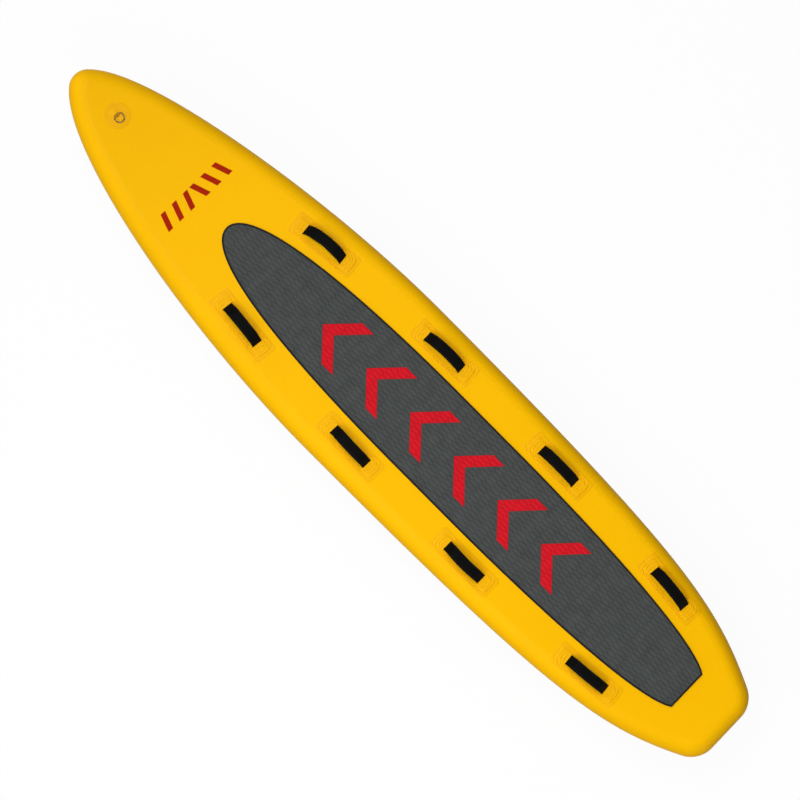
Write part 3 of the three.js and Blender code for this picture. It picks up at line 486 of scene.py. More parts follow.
def fillRoom(tree):
    # brighter on the port side and ahead, and white to the camera
    facing = addNode(tree, "ShaderNodeTexCoord").outputs["Generated"]
    toBright = addNode(tree, "ShaderNodeVectorMath",
                       {0: facing, 1: Vector(studio["brightSide"]).normalized()}, operation="DOT_PRODUCT")
    ends = dict(zip(("From Min", "From Max", "To Min", "To Max"), studio["ambientFrom"] + studio["ambient"]))
    tone = addNode(tree, "ShaderNodeMapRange", {**ends, "Value": toBright.outputs["Value"]},
                   interpolation_type="SMOOTHSTEP")
    room = tree.nodes["Background"]
    feed(tree, (1, 1, 1, 1), room.inputs["Color"])
    feed(tree, tone.outputs["Result"], room.inputs["Strength"])
    backdrop = addNode(tree, "ShaderNodeBackground", {"Color": (1, 1, 1, 1), "Strength": 1.0})
    either = addNode(tree, "ShaderNodeMixShader", {"Fac": whiteForCamera(tree), 1: room.outputs["Background"],
                                                   2: backdrop.outputs["Background"]})
    feed(tree, either.outputs["Shader"], tree.nodes["World Output"].inputs["Surface"])


def floorFinish():
    # white to the camera with the object's shadow, and dark to what it lights
    material = bpy.data.materials.new("white floor")
    material.use_nodes = True
    tree = material.node_tree
    shader = tree.nodes["Principled BSDF"]
    tone = addNode(tree, "ShaderNodeMapRange", {
        "To Min": studio["floorBounce"], "To Max": studio["floorTone"], "Value": whiteForCamera(tree)})
    feed(tree, tone.outputs["Result"], shader.inputs["Base Color"])
    feed(tree, 0.9, shader.inputs["Roughness"])
    glow = addNode(tree, "ShaderNodeEmission")
    share = maths(tree, "MULTIPLY", whiteForCamera(tree), 1 - studio["floorShadow"])
    either = addNode(tree, "ShaderNodeMixShader", {
        "Fac": share, 1: shader.outputs["BSDF"], 2: glow.outputs["Emission"]})
    feed(tree, either.outputs["Shader"], tree.nodes["Material Output"].inputs["Surface"])
    return material


world = bpy.data.worlds.new("pale studio")
bpy.context.scene.world = world
world.use_nodes = True
fillRoom(world.node_tree)
finishes["floor"] = floorFinish()
floorZ = (cadBox[0][2] - studio["floorDrop"]) / mm
reach = studio["floorSize"] / 2 / mm
floorCorners = [(x * reach, y * reach, floorZ) for x, y in ((-1, -1), (1, -1), (1, 1), (-1, 1))]
makePiece("floor", floorCorners, [(0, 1, 2, 3)], "floor", smooth=False)
say("camera, lamps and floor set")


# deck layer, bottom layer and rail tapes
def skinSheet(name, low, high, nodeName, hole=None):
    # a flat face's skin between two heights, with a round hole at the valve
    piece = makePiece(name, *sheet(stationAt, low, high, 24), "hull", sharp=40)
    if hole:
        tool = revolve([(0, -200), (hole, -200), (hole, 200), (0, 200)], 64, valveX)
        piece = cutWith(piece, makePiece("hole tool", *tool, "hull"), "DIFFERENCE")
    settle(piece, "hull", "hull_yellow", nodeName)


def tapeRadius(angle):
    # the tape lies a step above the layer that it overlaps at both of its edges
    h = named(hullSizes)
    a = min(angle, 180 - angle)
    if a >= h.tapeAngle + h.tapeRun:
        return railRadius
    if a >= h.tapeAngle:
        return railRadius - h.tapeStep * (1 - (a - h.tapeAngle) / h.tapeRun)
    return railRadius - h.tapeStep * min(1, a / (h.tapeAngle * h.tapeFade))


def railPiece(side, sideName):
    edge, run = hullSizes["tapeAngle"], hullSizes["tapeRun"]
    angles = [0, 3, 6, 9, 12, edge, edge + run / 2, edge + run] + list(np.linspace(edge + 3, 90, 16))
    angles = angles + [180 - a for a in angles[-2::-1]]
    section = [(a, tapeRadius(a)) for a in angles]
    section += [(a, railRadius - hullSizes["skin"]) for a in np.linspace(180, 0, 13)]
    rings = []
    for at, out in zip(stationAt, stationOut):
        ring = []
        for a, r in section:
            spread, z = r * math.sin(math.radians(a)), railRadius + r * math.cos(math.radians(a))
            ring.append((at[0] + out[0] * spread, side * max(0, at[1] + out[1] * spread), z))
        ring = np.array(ring)
        ring[:, 2] += lift(ring[:, 0])
        rings.append(ring)
    middle = rings[-1] * [1, 0, 1]  # the tail is closed on the centre line
    piece = makePiece("rail_tape_" + sideName, *skinRings(rings + [middle]), "rail", sharp=50)
    settle(piece, "hull", "rail_yellow", sideName + "_rail_band")


skinSheet("deck_layer", deckTop - hullSizes["skin"], deckTop, "deck_skin")
skinSheet("bottom_layer", 0, hullSizes["skin"], "bottom_skin", hullSizes["valveHole"])
railPiece(1, "port")
railPiece(-1, "starboard")
say("hull skinned")

# deck pad: base, black edge, arrows and cells
padSizes = {
    "frontToNose": 877.8, "length": 2681.3, "bullet": 0.0562, "frontWaist": 0.2379, "widestFront": 0.4412,
    "widestRear": 0.5685, "rearWaist": 0.0737, "tailHandle": 0.064, "tailAngle": 34.6, "tailShare": 0.4651,
    "halfWidth": 200.705, "bottom": 150.3, "floor": 155.2, "top": 156.3, "edge": 7.5, "edgeChamfer": 2.6,
    "lipDrop": 0.1, "edgeSink": 0.25, "inlayRise": 0.15, "toolLow": 140.0, "toolHigh": 170.0,
}
cellSizes = {
    "length": 80.6, "width": 19.0, "lengthShare": 0.29, "widthShare": 0.31, "taper": 0.78, "sides": 12,
    "sink": 0.2, "along": 36, "across": 23, "fromEdge": 1.5, "fromArrow": 2.0, "inArrow": 1.5,
}
chevronSizes = {"count": 6, "span": 239.0, "sweep": 112.0, "stroke": 47.0, "pitch": 254.3,
                "firstToNose": 1524.3, "line": 0.3}


def padOutline(inset, steps=60):
    # port half, front to tail, drawn in by an inset; the tail corner is mitred
    p = named(padSizes)
    frontX = halfLength - p.frontToNose
    tip = np.array([frontX, 0.0])
    frontWaist = np.array([frontX - p.widestFront * p.length, p.halfWidth])
    rearWaist = np.array([frontX - p.widestRear * p.length, p.halfWidth])
    corner = np.array([frontX - p.length, p.tailShare * p.halfWidth])
    taper = math.radians(p.tailAngle)
    front = bezier(tip, tip + polar(p.bullet * p.length, math.pi / 2),
                   frontWaist + polar(p.frontWaist * p.length, 0), frontWaist, steps)
    rear = bezier(rearWaist, rearWaist + polar(p.rearWaist * p.length, math.pi),
                  corner + polar(p.tailHandle * p.length, taper), corner, steps)
    at, out = np.vstack([front[0], rear[0]]), np.vstack([front[1], rear[1]])
    out[0] = (1, 0)
    out[-1] = (-1, math.cos(taper) / (1 + math.sin(taper)))
    drawn = at - out * inset
    drawn[:, 1] = np.maximum(0, drawn[:, 1])
    return drawn


def wholeLoop(half):
    # the port half and its mirror image as one closed loop
    return np.vstack([half, (half * [1, -1])[::-1][:-1]])


def padEdge():
    # an upright side, a chamfer and a flat lip
    p = named(padSizes)
    foot, lip = p.bottom - p.edgeSink, p.top - p.lipDrop
    rows = [(0, foot), (0, p.top - p.edgeChamfer), (p.edgeChamfer, lip), (p.edge, lip),
            (p.edge, foot)]
    loops = []
    for inset, z in rows:
        loop = wholeLoop(padOutline(inset))
        loops.append(np.c_[loop, z + lift(loop[:, 0])])
    rings = [np.array([loop[i] for loop in loops]) for i in range(len(loops[0]))]
    return skinRings(rings, closedAlong=True)


def chevrons(name, grow, low, high):
    # all arrows as one flat piece, grown all round
    c = named(chevronSizes)
    half = c.span / 2
    arm = math.hypot(c.sweep, half)
    slope = c.sweep / half
    alongStroke, alongGrow = c.stroke * arm / half, grow * arm / half
    front = (c.sweep + alongStroke) / 2 + alongGrow
    back = front - alongStroke - 2 * alongGrow
    side = half + grow
    parts = []
    for i in range(c.count):
        x = halfLength - c.firstToNose - i * c.pitch
        frontEnd, backEnd = x + front - slope * side, x + back - slope * side
        plan = [(x + front, 0), (frontEnd, side), (backEnd, side), (x + back, 0), (backEnd, -side),
                (frontEnd, -side)]
        parts.append(prism(plan, low, high))
    # the arrows' base takes the darker red groove finish: painted shade between the red cells
    return makePiece(name, *merged(parts), "grooveRed", smooth=False)


def newTree(name, inputs):
    # a tree with named inputs and one geometry output; gives the sockets and their values inside
    tree = bpy.data.node_groups.new(name, "GeometryNodeTree")
    sockets = {}
    for given, kind in inputs.items():
        sockets[given] = tree.interface.new_socket(given, in_out="INPUT", socket_type="NodeSocket" + kind)
    tree.interface.new_socket("Geometry", in_out="OUTPUT", socket_type="NodeSocketGeometry")
    return tree, sockets, addNode(tree, "NodeGroupInput").outputs


def endTree(tree, geometry, finishName):
    paint = addNode(tree, "GeometryNodeSetMaterial", {"Geometry": geometry, "Material": finishes[finishName]})
    addNode(tree, "NodeGroupOutput", {"Geometry": paint.outputs["Geometry"]})


def cellTree(finishName):
    # foam cells on a staggered grid, kept inside one object and outside another
    tree, sockets, given = newTree("foam cells", {
        "Cell Length": "Float", "Cell Width": "Float", "Length Share": "Float", "Width Share": "Float",
        "Height": "Float", "Middle Height": "Float", "Middle": "Float", "Across Count": "Int",
        "Along Count": "Int", "Keep In": "Object", "Keep Out": "Object"})
    spans = []
    for size, count in (("Cell Length", "Along Count"), ("Cell Width", "Across Count")):
        spans.append(maths(tree, "MULTIPLY", given[size], maths(tree, "SUBTRACT", given[count], 1)))
    block = addNode(tree, "GeometryNodeMeshCone", {
        "Vertices": cellSizes["sides"], "Radius Top": cellSizes["taper"], "Radius Bottom": 1.0,
        "Depth": given["Height"]})
    longer = maths(tree, "MULTIPLY", given["Cell Length"], given["Length Share"])
    narrow = maths(tree, "MULTIPLY", given["Cell Width"], given["Width Share"])
    shape = addNode(tree, "GeometryNodeTransform", {
        "Geometry": block.outputs["Mesh"], "Scale": xyz(tree, longer, narrow, 1.0)})
    join = addNode(tree, "GeometryNodeJoinGeometry")
    for half in (0.0, 0.5):
        grid = addNode(tree, "GeometryNodeMeshGrid", {
            "Size X": spans[0], "Size Y": spans[1], "Vertices X": given["Along Count"],
            "Vertices Y": given["Across Count"]})
        along = maths(tree, "ADD", given["Middle"], maths(tree, "MULTIPLY", given["Cell Length"], half))
        across = maths(tree, "MULTIPLY", given["Cell Width"], half)
        move = addNode(tree, "GeometryNodeTransform", {
            "Geometry": grid.outputs["Mesh"],
            "Translation": xyz(tree, along, across, given["Middle Height"])})
        spread = addNode(tree, "GeometryNodeInstanceOnPoints", {
            "Points": move.outputs["Geometry"], "Instance": shape.outputs["Geometry"]})
        feed(tree, spread.outputs["Instances"], join.inputs["Geometry"])
    real = addNode(tree, "GeometryNodeRealizeInstances", {"Geometry": join.outputs["Geometry"]})
    keepers = [addNode(tree, "GeometryNodeObjectInfo", {"Object": given[name]}, transform_space="RELATIVE")
               for name in ("Keep In", "Keep Out")]
    keepIn, keepOut = [keeper.outputs["Geometry"] for keeper in keepers]
    inside = addNode(tree, "GeometryNodeMeshBoolean", {"Mesh 2": real.outputs["Geometry"]},
                     operation="INTERSECT", solver="EXACT")
    feed(tree, keepIn, inside.inputs["Mesh 2"])
    outside = addNode(tree, "GeometryNodeMeshBoolean", {"Mesh 1": inside.outputs["Mesh"], "Mesh 2": keepOut},
                      operation="DIFFERENCE", solver="EXACT")
    endTree(tree, outside.outputs["Mesh"], finishName)
    return tree, sockets


def grown(name, grower, values, finishName, start=None):
    # runs a tree once and keeps its result as a plain mesh
    tree, sockets = grower
    seed = linked(name + " seed", start or bpy.data.meshes.new(name + " seed"))
    modifier = seed.modifiers.new("grow", "NODES")
    modifier.node_group = tree
    for key, value in values.items():
        modifier[sockets[key].identifier] = value
    mesh = bakedMesh(seed)
    seed.modifiers.clear()
    discard(seed)
    mesh.name = name
    return finishPiece(name, mesh, finishName, smooth=False)


def padCells():
    p, c = named(padSizes), named(cellSizes)
    low, high = p.toolLow, p.toolHigh
    inner = prism(wholeLoop(padOutline(p.edge + c.fromEdge)), low, high)
    insideTool = makePiece("pad inside tool", *inner, "foam", smooth=False)
    arrowsOut = chevrons("arrow keep out", c.fromArrow, low - 1, high + 1)
    arrowsIn = chevrons("arrow keep in", -c.inArrow, low - 1, high + 1)
    farAway = makePiece("nothing tool", *prism([(9000, 0), (9001, 0), (9001, 1)], 0, 1), "foam")
    height = (p.top - p.floor + c.sink) * mm
    common = {"Cell Length": c.length * mm, "Cell Width": c.width * mm,
              "Length Share": c.lengthShare, "Width Share": c.widthShare,
              "Height": height, "Middle Height": p.top * mm - height,
              "Middle": (halfLength - p.frontToNose - p.length / 2) * mm,
              "Along Count": c.along, "Across Count": c.across}
    made = []
    for name, finishName, keepIn, keepOut in (("pad_cells", "foam", insideTool, arrowsOut),
                                              ("pad_arrows_cells", "foamRed", arrowsIn, farAway)):
        values = {**common, "Keep In": keepIn, "Keep Out": keepOut}
        cells = grown(name, cellTree(finishName), values, finishName)
        movePoints(cells, lambda points: points + np.c_[points[:, :2] * 0, lift(points[:, 0])])
        made.append(cells)
    discard(insideTool, arrowsOut, arrowsIn, farAway)
    return made


def padPieces():
    # grey pieces, then red ones
    p = named(padSizes)
    # the base between the cells takes the darker groove finish: painted shade in the grooves
    base = makePiece("pad_base", *sheet(padOutline(p.edge), p.bottom, p.floor, 8), "groove", sharp=40)
    tool = chevrons("arrow tool", chevronSizes["line"], p.toolLow, p.toolHigh)
    base = cutWith(base, tool, "DIFFERENCE")
    for face in base.data.polygons:
        face.use_smooth = False
    rim = makePiece("pad_edge", *padEdge(), "foamEdge", sharp=30)
    arrowsBase = chevrons("pad_arrows_base", 0, p.bottom, p.floor + p.inlayRise)
    greyCells, redCells = padCells()
    return [base, rim, greyCells], [arrowsBase, redCells]


greyPieces, redPieces = padPieces()
arrowNodes = ["pad_chevron_%d" % (i + 1) for i in range(chevronSizes["count"])]
for padSlot, padNodes, pieces in (("pad_grey", ["deck_pad"], greyPieces), ("pad_red", arrowNodes, redPieces)):
    for padPiece in pieces:
        settle(padPiece, "hull", padSlot, *padNodes)
say("deck pad laid, %d and %d cell faces" % tuple(
    len(pieces[-1].data.polygons) for pieces in (greyPieces, redPieces)))

# printed bars at the nose
markSizes = {"count": 6, "low": 1176.0, "high": 1250.0, "pitch": 63.0, "width": 25.0, "slant": 26.0,
             "ink": 0.16}


def noseMarks():
    # slanted bars that lean towards the middle
    m = named(markSizes)
    parts = []
    for i in range(m.count):
        y = (i - (m.count - 1) / 2) * m.pitch
        lean = -m.slant if y > 0 else m.slant
        rings = []
        for share in np.linspace(0, 1, 9):
            x = m.low + (m.high - m.low) * share
            ys = y + lean * (share - 0.5) + np.array([-0.5, 0, 0.5]) * m.width
            z = deckTop + float(lift(x))
            rings.append([(x, each, z + m.ink) for each in ys] + [(x, each, z - m.ink) for each in ys[::-1]])
        parts.append(skinRings(rings))
    return merged(parts)


settle(makePiece("nose_marks", *noseMarks(), "mark", smooth=False), "hull", "pad_red")

# carry handles: patch, webbing, padded grip and its stitches
handleSizes = {
    "behindNose": (0.6339, 0.9817, 1.3302, 1.6881), "offCentre": (0.5896, 0.6819, 0.6903, 0.6126),
    "toeIn": (6.0, 1.8, 0.0, -5.7),
    "bow": {"port": (0.0, 0.09, 0.16, 0.08), "starboard": (0.18, 0.08, -0.01, 0.01)},
    "archSpan": 196.0, "archRise": 38.0, "archPower": 4.0, "lay": 1.3, "tail": 42.0,
    "webbingWidth": 46.0, "webbingThickness": 2.0, "selvage": 0.35, "insideGrip": 6.0,
    "gripWidth": 49.0, "gripLength": 150.0, "gripThickness": 9.6, "slotHeight": 2.6, "slotWidth": 46.6,
    "blankThickness": 6.4, "blankMargin": 0.4, "endRound": 3.0, "endOpen": 0.55, "swell": 2.0,
    "stitchLine": 19.2, "stitchPitch": 4.6, "stitchLength": 3.3, "stitchRadius": 0.42, "stitchEnd": 5.0,
    "channelWidth": 1.1, "channelDepth": 0.3, "sewnWidth": 1.3, "sewnEnd": 1.5,
}
fillingSettings = {
    "quality": 6, "mass": 0.3, "use_pressure": True, "uniform_pressure_force": 4, "tension_stiffness": 12,
    "compression_stiffness": 12, "bending_stiffness": 4, "vertex_group_mass": "sewn",
}
fillingFrames = 18
patchSizes = {
    "halfLength": 161.0, "halfWidth": 50.0, "corner": 14.0, "windowHalfLength": 99.2, "windowHalfWidth": 28.0,
    "windowCorner": 4.0, "thickness": 1.1, "lay": 0.12, "mound": 2.36, "moundEnd": 140.5, "moundRun": 8.0,
    "moundSide": 25.0, "moundFoot": 34.0, "moundStart": (12.0, 1.0), "ridges": (0.30, 0.52, 0.74),
    "ridgeHeight": 1.3, "ridgeWidth": 0.032, "arcRound": 0.86, "hem": 0.35, "hemAt": 0.045, "hemWidth": 0.03,
    "worn": {0: 0.45, 0.012: 0.12, 0.988: 0.12, 1: 0.45},
}


def smoothstep(a, b, x):
    t = np.clip((np.asarray(x, float) - a) / (b - a), 0, 1)
    return t * t * (3 - 2 * t)


def archLine():
    # the webbing's middle line in its own upright plane, with a soft bend at each root
    h = named(handleSizes)
    end = h.archSpan / 2 + h.tail
    u = np.linspace(-end, end, 281)
    s = np.clip(np.abs(2 * u / h.archSpan), 0, 1)
    z = h.lay + h.archRise * (1 - s ** h.archPower)
    for _ in range(4):
        z[1:-1] = (z[:-2] + 2 * z[1:-1] + z[2:]) / 4
    return u, z, np.gradient(z, u)


archU, archZ, archSlope = archLine()


def handlePlace(side, i):
    h = named(handleSizes)
    return (halfLength * (1 - h.behindNose[i]), side * h.offCentre[i] * halfWidth,
            -side * math.radians(h.toeIn[i]))


def toDeck(points, place):
    # from a handle's own directions to the board's
    return turned(np.asarray(points, float), place[2]) + [place[0], place[1], deckTop]


def bent(points, bow):
    # points of a straight handle laid along its arch and bowed to one side
    u, v, w = np.asarray(points, float).T
    slope = np.interp(u, archU, archSlope)
    size = np.hypot(1, slope)
    off = bow * handleSizes["gripWidth"] * np.maximum(0, 1 - (2 * u / handleSizes["archSpan"]) ** 2)
    return np.c_[u - slope / size * w, v + off, np.interp(u, archU, archZ) + w / size]


def strapMesh(end):
    # one end of the webbing: from under the patch up into the grip
    h = named(handleSizes)
    reach = h.archSpan / 2 + h.tail
    half, thick, edge = h.webbingWidth / 2, h.webbingThickness / 2, h.selvage
    section = [(-half, -thick + edge), (-half + edge, -thick), (-half * 0.5, -thick), (0, -thick),
               (half * 0.5, -thick), (half - edge, -thick), (half, -thick + edge)]
    section += [(-v, -w) for v, w in section]
    return skinRings([[(end * u, v, w) for v, w in section]
                      for u in np.linspace(reach, h.gripLength / 2 - h.insideGrip, 64)])


def gripBlank():
    # a flat closed sleeve with its rounded edges, before it is filled
    h = named(handleSizes)
    half, thick = h.gripWidth / 2 - h.blankMargin, h.blankThickness / 2
    across = np.sin(np.linspace(-math.pi / 2, math.pi / 2, 27)) * half
    crown = thick * (1 - (np.abs(across) / half) ** 6) ** 0.5
    rings = []
    for u in np.linspace(-h.gripLength / 2, h.gripLength / 2, 61):
        away = (h.gripLength / 2 - abs(u)) / h.endRound
        close = h.endOpen + (1 - h.endOpen) * math.sqrt(max(0, 1 - max(0, 1 - away) ** 2))
        top = [(u, v, z * close) for v, z in zip(across, crown)]
        low = [(u, v, -z * close) for v, z in zip(across[-2:0:-1], crown[-2:0:-1])]
        rings.append(top + low)
    points, faces = skinRings(rings, caps=False)
    count = len(rings[0])
    for base in (0, (len(rings) - 1) * count):
        for j in range(len(across) - 1):
            below = [base + (count - k) % count for k in (j, j + 1)]
            faces.append(tuple(dict.fromkeys((base + j, base + j + 1, below[1], below[0]))))
    return points, faces


def filled(blank):
    # a short cloth run swells the sleeve between its stitch lines
    h = named(handleSizes)
    co = pointsOf(blank.data)
    pinned = blank.vertex_groups.new(name="sewn")
    sewn = np.abs(np.abs(co[:, 1]) - h.stitchLine) < h.sewnWidth
    sewn |= np.abs(co[:, 0]) > h.gripLength / 2 - h.sewnEnd
    pinned.add([int(i) for i in np.nonzero(sewn)[0]], 1.0, "REPLACE")
    cloth = blank.modifiers.new("filling", "CLOTH")
    for key, value in fillingSettings.items():
        setattr(cloth.settings, key, value)
    cloth.settings.effector_weights.gravity = 0
    cloth.collision_settings.use_collision = False
    for frameNumber in range(1, fillingFrames + 1):
        bpy.context.scene.frame_set(frameNumber)
    mesh = bakedMesh(blank)
    bpy.context.scene.frame_set(1)
    move = pointsOf(mesh) - co
    bpy.data.meshes.remove(mesh)
    blank.modifiers.clear()
    blank.vertex_groups.clear()
    far = np.linalg.norm(move, axis=1)[:, None]
    move *= np.minimum(1, h.swell / np.maximum(far, 1e-9))
    move[:, 0] *= 0.3  # the sleeve keeps its length
    return co + move


def gripMaster():
    # the straight grip, and its points before the slot for the webbing is cut
    h = named(handleSizes)
    blank = makePiece("grip blank", *gripBlank(), "neoprene", sharp=60)
    co = filled(blank)
    near = np.exp(-((np.abs(co[:, 1]) - h.stitchLine) / h.channelWidth) ** 2)
    co[:, 2] *= 1 - h.channelDepth * near  # sewn channels pull in
    for axis, size in ((2, h.gripThickness), (1, h.gripWidth)):
        co[:, axis] = np.clip(co[:, axis], -size / 2, size / 2)
    movePoints(blank, lambda old: co)
    w, t, reach = h.slotWidth / 2, h.slotHeight / 2, h.gripLength
    slot = skinRings([[(x, -w, -t), (x, w, -t), (x, w, t), (x, -w, t)] for x in (-reach, 0, reach)])
    return cutWith(blank, makePiece("slot tool", *slot, "neoprene"), "DIFFERENCE"), co


def stitchTree():
    # threads set end to end along each edge line of the mesh it is given
    tree, sockets, given = newTree("stitch line", {
        "Geometry": "Geometry", "Pitch": "Float", "Thread Length": "Float", "Thread Radius": "Float"})
    curve = addNode(tree, "GeometryNodeMeshToCurve", {"Mesh": given["Geometry"]})
    spaced = addNode(tree, "GeometryNodeResampleCurve", {
        "Curve": curve.outputs["Curve"], "Length": given["Pitch"]}, mode="LENGTH")
    bead = addNode(tree, "GeometryNodeMeshUVSphere", {"Segments": 8, "Rings": 6, "Radius": 1.0})
    halfLong = maths(tree, "MULTIPLY", given["Thread Length"], 0.5)
    thread = addNode(tree, "GeometryNodeTransform", {
        "Geometry": bead.outputs["Mesh"],
        "Scale": xyz(tree, halfLong, given["Thread Radius"], given["Thread Radius"])})
    along = addNode(tree, "GeometryNodeInputTangent").outputs["Tangent"]
    aimed = addNode(tree, "FunctionNodeAlignEulerToVector", {"Vector": along}, axis="X")
    spread = addNode(tree, "GeometryNodeInstanceOnPoints", {
        "Points": spaced.outputs["Curve"], "Instance": thread.outputs["Geometry"],
        "Rotation": aimed.outputs["Rotation"]})
    real = addNode(tree, "GeometryNodeRealizeInstances", {"Geometry": spread.outputs["Instances"]})
    endTree(tree, real.outputs["Geometry"], "thread")
    return tree, sockets


def stitched(name, lines, pitch, length, radius):
    # threads along lines of points, as a plain mesh
    points, edges = [], []
    for line in lines:
        edges += [(len(points) + k, len(points) + k + 1) for k in range(len(line) - 1)]
        points += [tuple(p) for p in np.asarray(line, float) * mm]
    mesh = bpy.data.meshes.new(name + " path")
    mesh.from_pydata(points, edges, [])
    values = {"Pitch": pitch * mm, "Thread Length": length * mm, "Thread Radius": radius * mm}
    return grown(name, stitches, values, "thread", mesh)


def gripSeams(co):
    # stitch lines over the top and under the bottom of the straight grip
    h = named(handleSizes)
    row = np.abs(np.abs(co[:, 1]) - h.stitchLine) < 1.2
    height = float(np.abs(co[row & (np.abs(co[:, 0]) < 40), 2]).mean())
    end = h.gripLength / 2 - h.stitchEnd
    us = np.linspace(-end, end, 60)
    return [[(u, side * h.stitchLine, face * height) for u in us] for side in (-1, 1) for face in (-1, 1)]


def roundedLoop(a, b, r, longSteps=56, shortSteps=22, cornerSteps=9):
    # a rounded rectangle with the same number of points whatever its size
    points = []
    corners = [(a - r, b - r, 0), (-a + r, b - r, 90), (-a + r, -b + r, 180), (a - r, -b + r, 270)]
    for k, (x, y, start) in enumerate(corners):
        for step in range(cornerSteps + 1):
            angle = math.radians(start + 90 * step / cornerSteps)
            points.append((x + r * math.cos(angle), y + r * math.sin(angle)))
        nx, ny, nextStart = corners[(k + 1) % 4]
        angle = math.radians(nextStart)
        to = np.array((nx + r * math.cos(angle), ny + r * math.sin(angle)))
        begin = np.array(points[-1])
        steps = longSteps if k % 2 == 0 else shortSteps
        for step in range(1, steps):
            points.append(tuple(begin + (to - begin) * step / steps))
    return np.array(points)


def patchMesh(place):
    # loops from the window to the outer edge, laid on the deck and the rail
    p = named(patchSizes)

    def cover(loop):
        # the low mound over the webbing's tail
        u, v = np.abs(loop[:, 0]), np.abs(loop[:, 1])
        start = smoothstep(*[p.windowHalfLength - before for before in p.moundStart], u)
        stop = 1 - smoothstep(p.moundEnd, p.moundEnd + p.moundRun, u)
        return p.mound * start * stop * (1 - smoothstep(p.moundSide, p.moundFoot, v))

    def laid(loop, height):
        flat = toDeck(np.c_[loop, np.zeros(len(loop))], place)
        drop = railDrop(flat[:, 0], flat[:, 1])
        flat[:, 2] += lift(flat[:, 0]) - drop + height
        return flat

    tops, lows = [], []
    for s in np.r_[0, 0.012, np.linspace(0.035, 0.965, 44), 0.988, 1]:
        a = p.windowHalfLength + (p.halfLength - p.windowHalfLength) * s
        b = p.windowHalfWidth + (p.halfWidth - p.windowHalfWidth) * s
        plain = p.windowCorner + (p.corner - p.windowCorner) * s
        loop = roundedLoop(a, b, plain + (p.arcRound * b - plain) * math.sin(math.pi * s))
        ridge = sum(math.exp(-((s - at) / p.ridgeWidth) ** 2) for at in p.ridges) * p.ridgeHeight
        hem = p.hem * math.exp(-((s - p.hemAt) / p.hemWidth) ** 2)
        lump = cover(loop)
        tops.append(laid(loop, p.lay + p.thickness + lump + ridge + hem - p.worn.get(float(s), 0)))
        lows.append(laid(loop, p.lay + lump))
    return skinRings(tops + lows[::-1], closedAlong=True)


gripShape, gripPoints = gripMaster()
stitches = stitchTree()
stitchShape = stitched("grip stitching", gripSeams(gripPoints), handleSizes["stitchPitch"],
                       handleSizes["stitchLength"], handleSizes["stitchRadius"])


def makeHandle(sideName, side, i):
    name = "%s_handle_%d" % (sideName, i + 1)
    place = handlePlace(side, i)
    bow = side * handleSizes["bow"][sideName][i]

    def onHandle(points):
        return toDeck(bent(points, bow), place)

    patch = makePiece(name + "_glued_patch", *patchMesh(place), "patch", sharp=55)
    settle(patch, "hull", "patch_yellow", name + "_patch")
    grip = reshaped(name + "_padded_grip", gripShape, onHandle)
    sewing = reshaped(name + "_grip_stitching", stitchShape, onHandle)
    for part in (grip, sewing):
        settle(part, name + "_grip", "grip_black", name + "_grip")
    for endName, end in (("front", 1), ("rear", -1)):
        points, faces = strapMesh(end)
        strap = makePiece("%s_%s_strap" % (name, endName), onHandle(points), faces, "webbing", sharp=45)
        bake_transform(strap)
        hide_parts(name + "_webbing")


for sideName, side in (("port", 1), ("starboard", -1)):
    for i in range(4):
        makeHandle(sideName, side, i)
discard(gripShape, stitchShape)
say("eight handles sewn")

# nose ring: patch, tab, stitches and wire
ringSizes = {
    "toNose": 246.0, "patchRadius": 55.0, "patchThickness": 1.2, "lay": 0.12, "rims": (49.5, 44.5),
    "rimHeight": 0.6, "rimWidth": 1.1, "wire": 4.5, "width": 43.0, "leg": 13.0, "corner": 5.0,
    "barAhead": 0.5, "play": 0.5, "tackRows": (5.0, 6.3), "tackHalf": 9.0, "tackPitch": 2.4, "tackLength": 2.2,
    "tackRadius": 0.45, "tabWidth": 20.0, "tabThickness": 1.6, "tabTail": 30.0, "clear": 0.3,
    "slotMargin": 3.0, "coverEnd": 4.0, "coverFoot": 9.0, "coverCrown": 1.0,
}
ringX = halfLength - ringSizes["toNose"]
ringTilt = math.atan(float(lift(ringX + 0.5) - lift(ringX - 0.5)))
barHeight = ringSizes["clear"] + ringSizes["tabThickness"] + ringSizes["play"] + ringSizes["wire"] / 2


def onSlope(points):
    # from the ring's tilted plane to the board
    points = np.asarray(points, float)
    c, s = math.cos(ringTilt), math.sin(ringTilt)
    return np.c_[ringX + points[:, 0] * c - points[:, 2] * s, points[:, 1],
                 deckTop + float(lift(ringX)) + points[:, 0] * s + points[:, 2] * c]


def draped(points):
    # laid on the curved deck, heights counted from it
    x = ringX + points[:, 0] * math.cos(ringTilt)
    return np.c_[x, points[:, 1], deckTop + lift(x) + points[:, 2]]


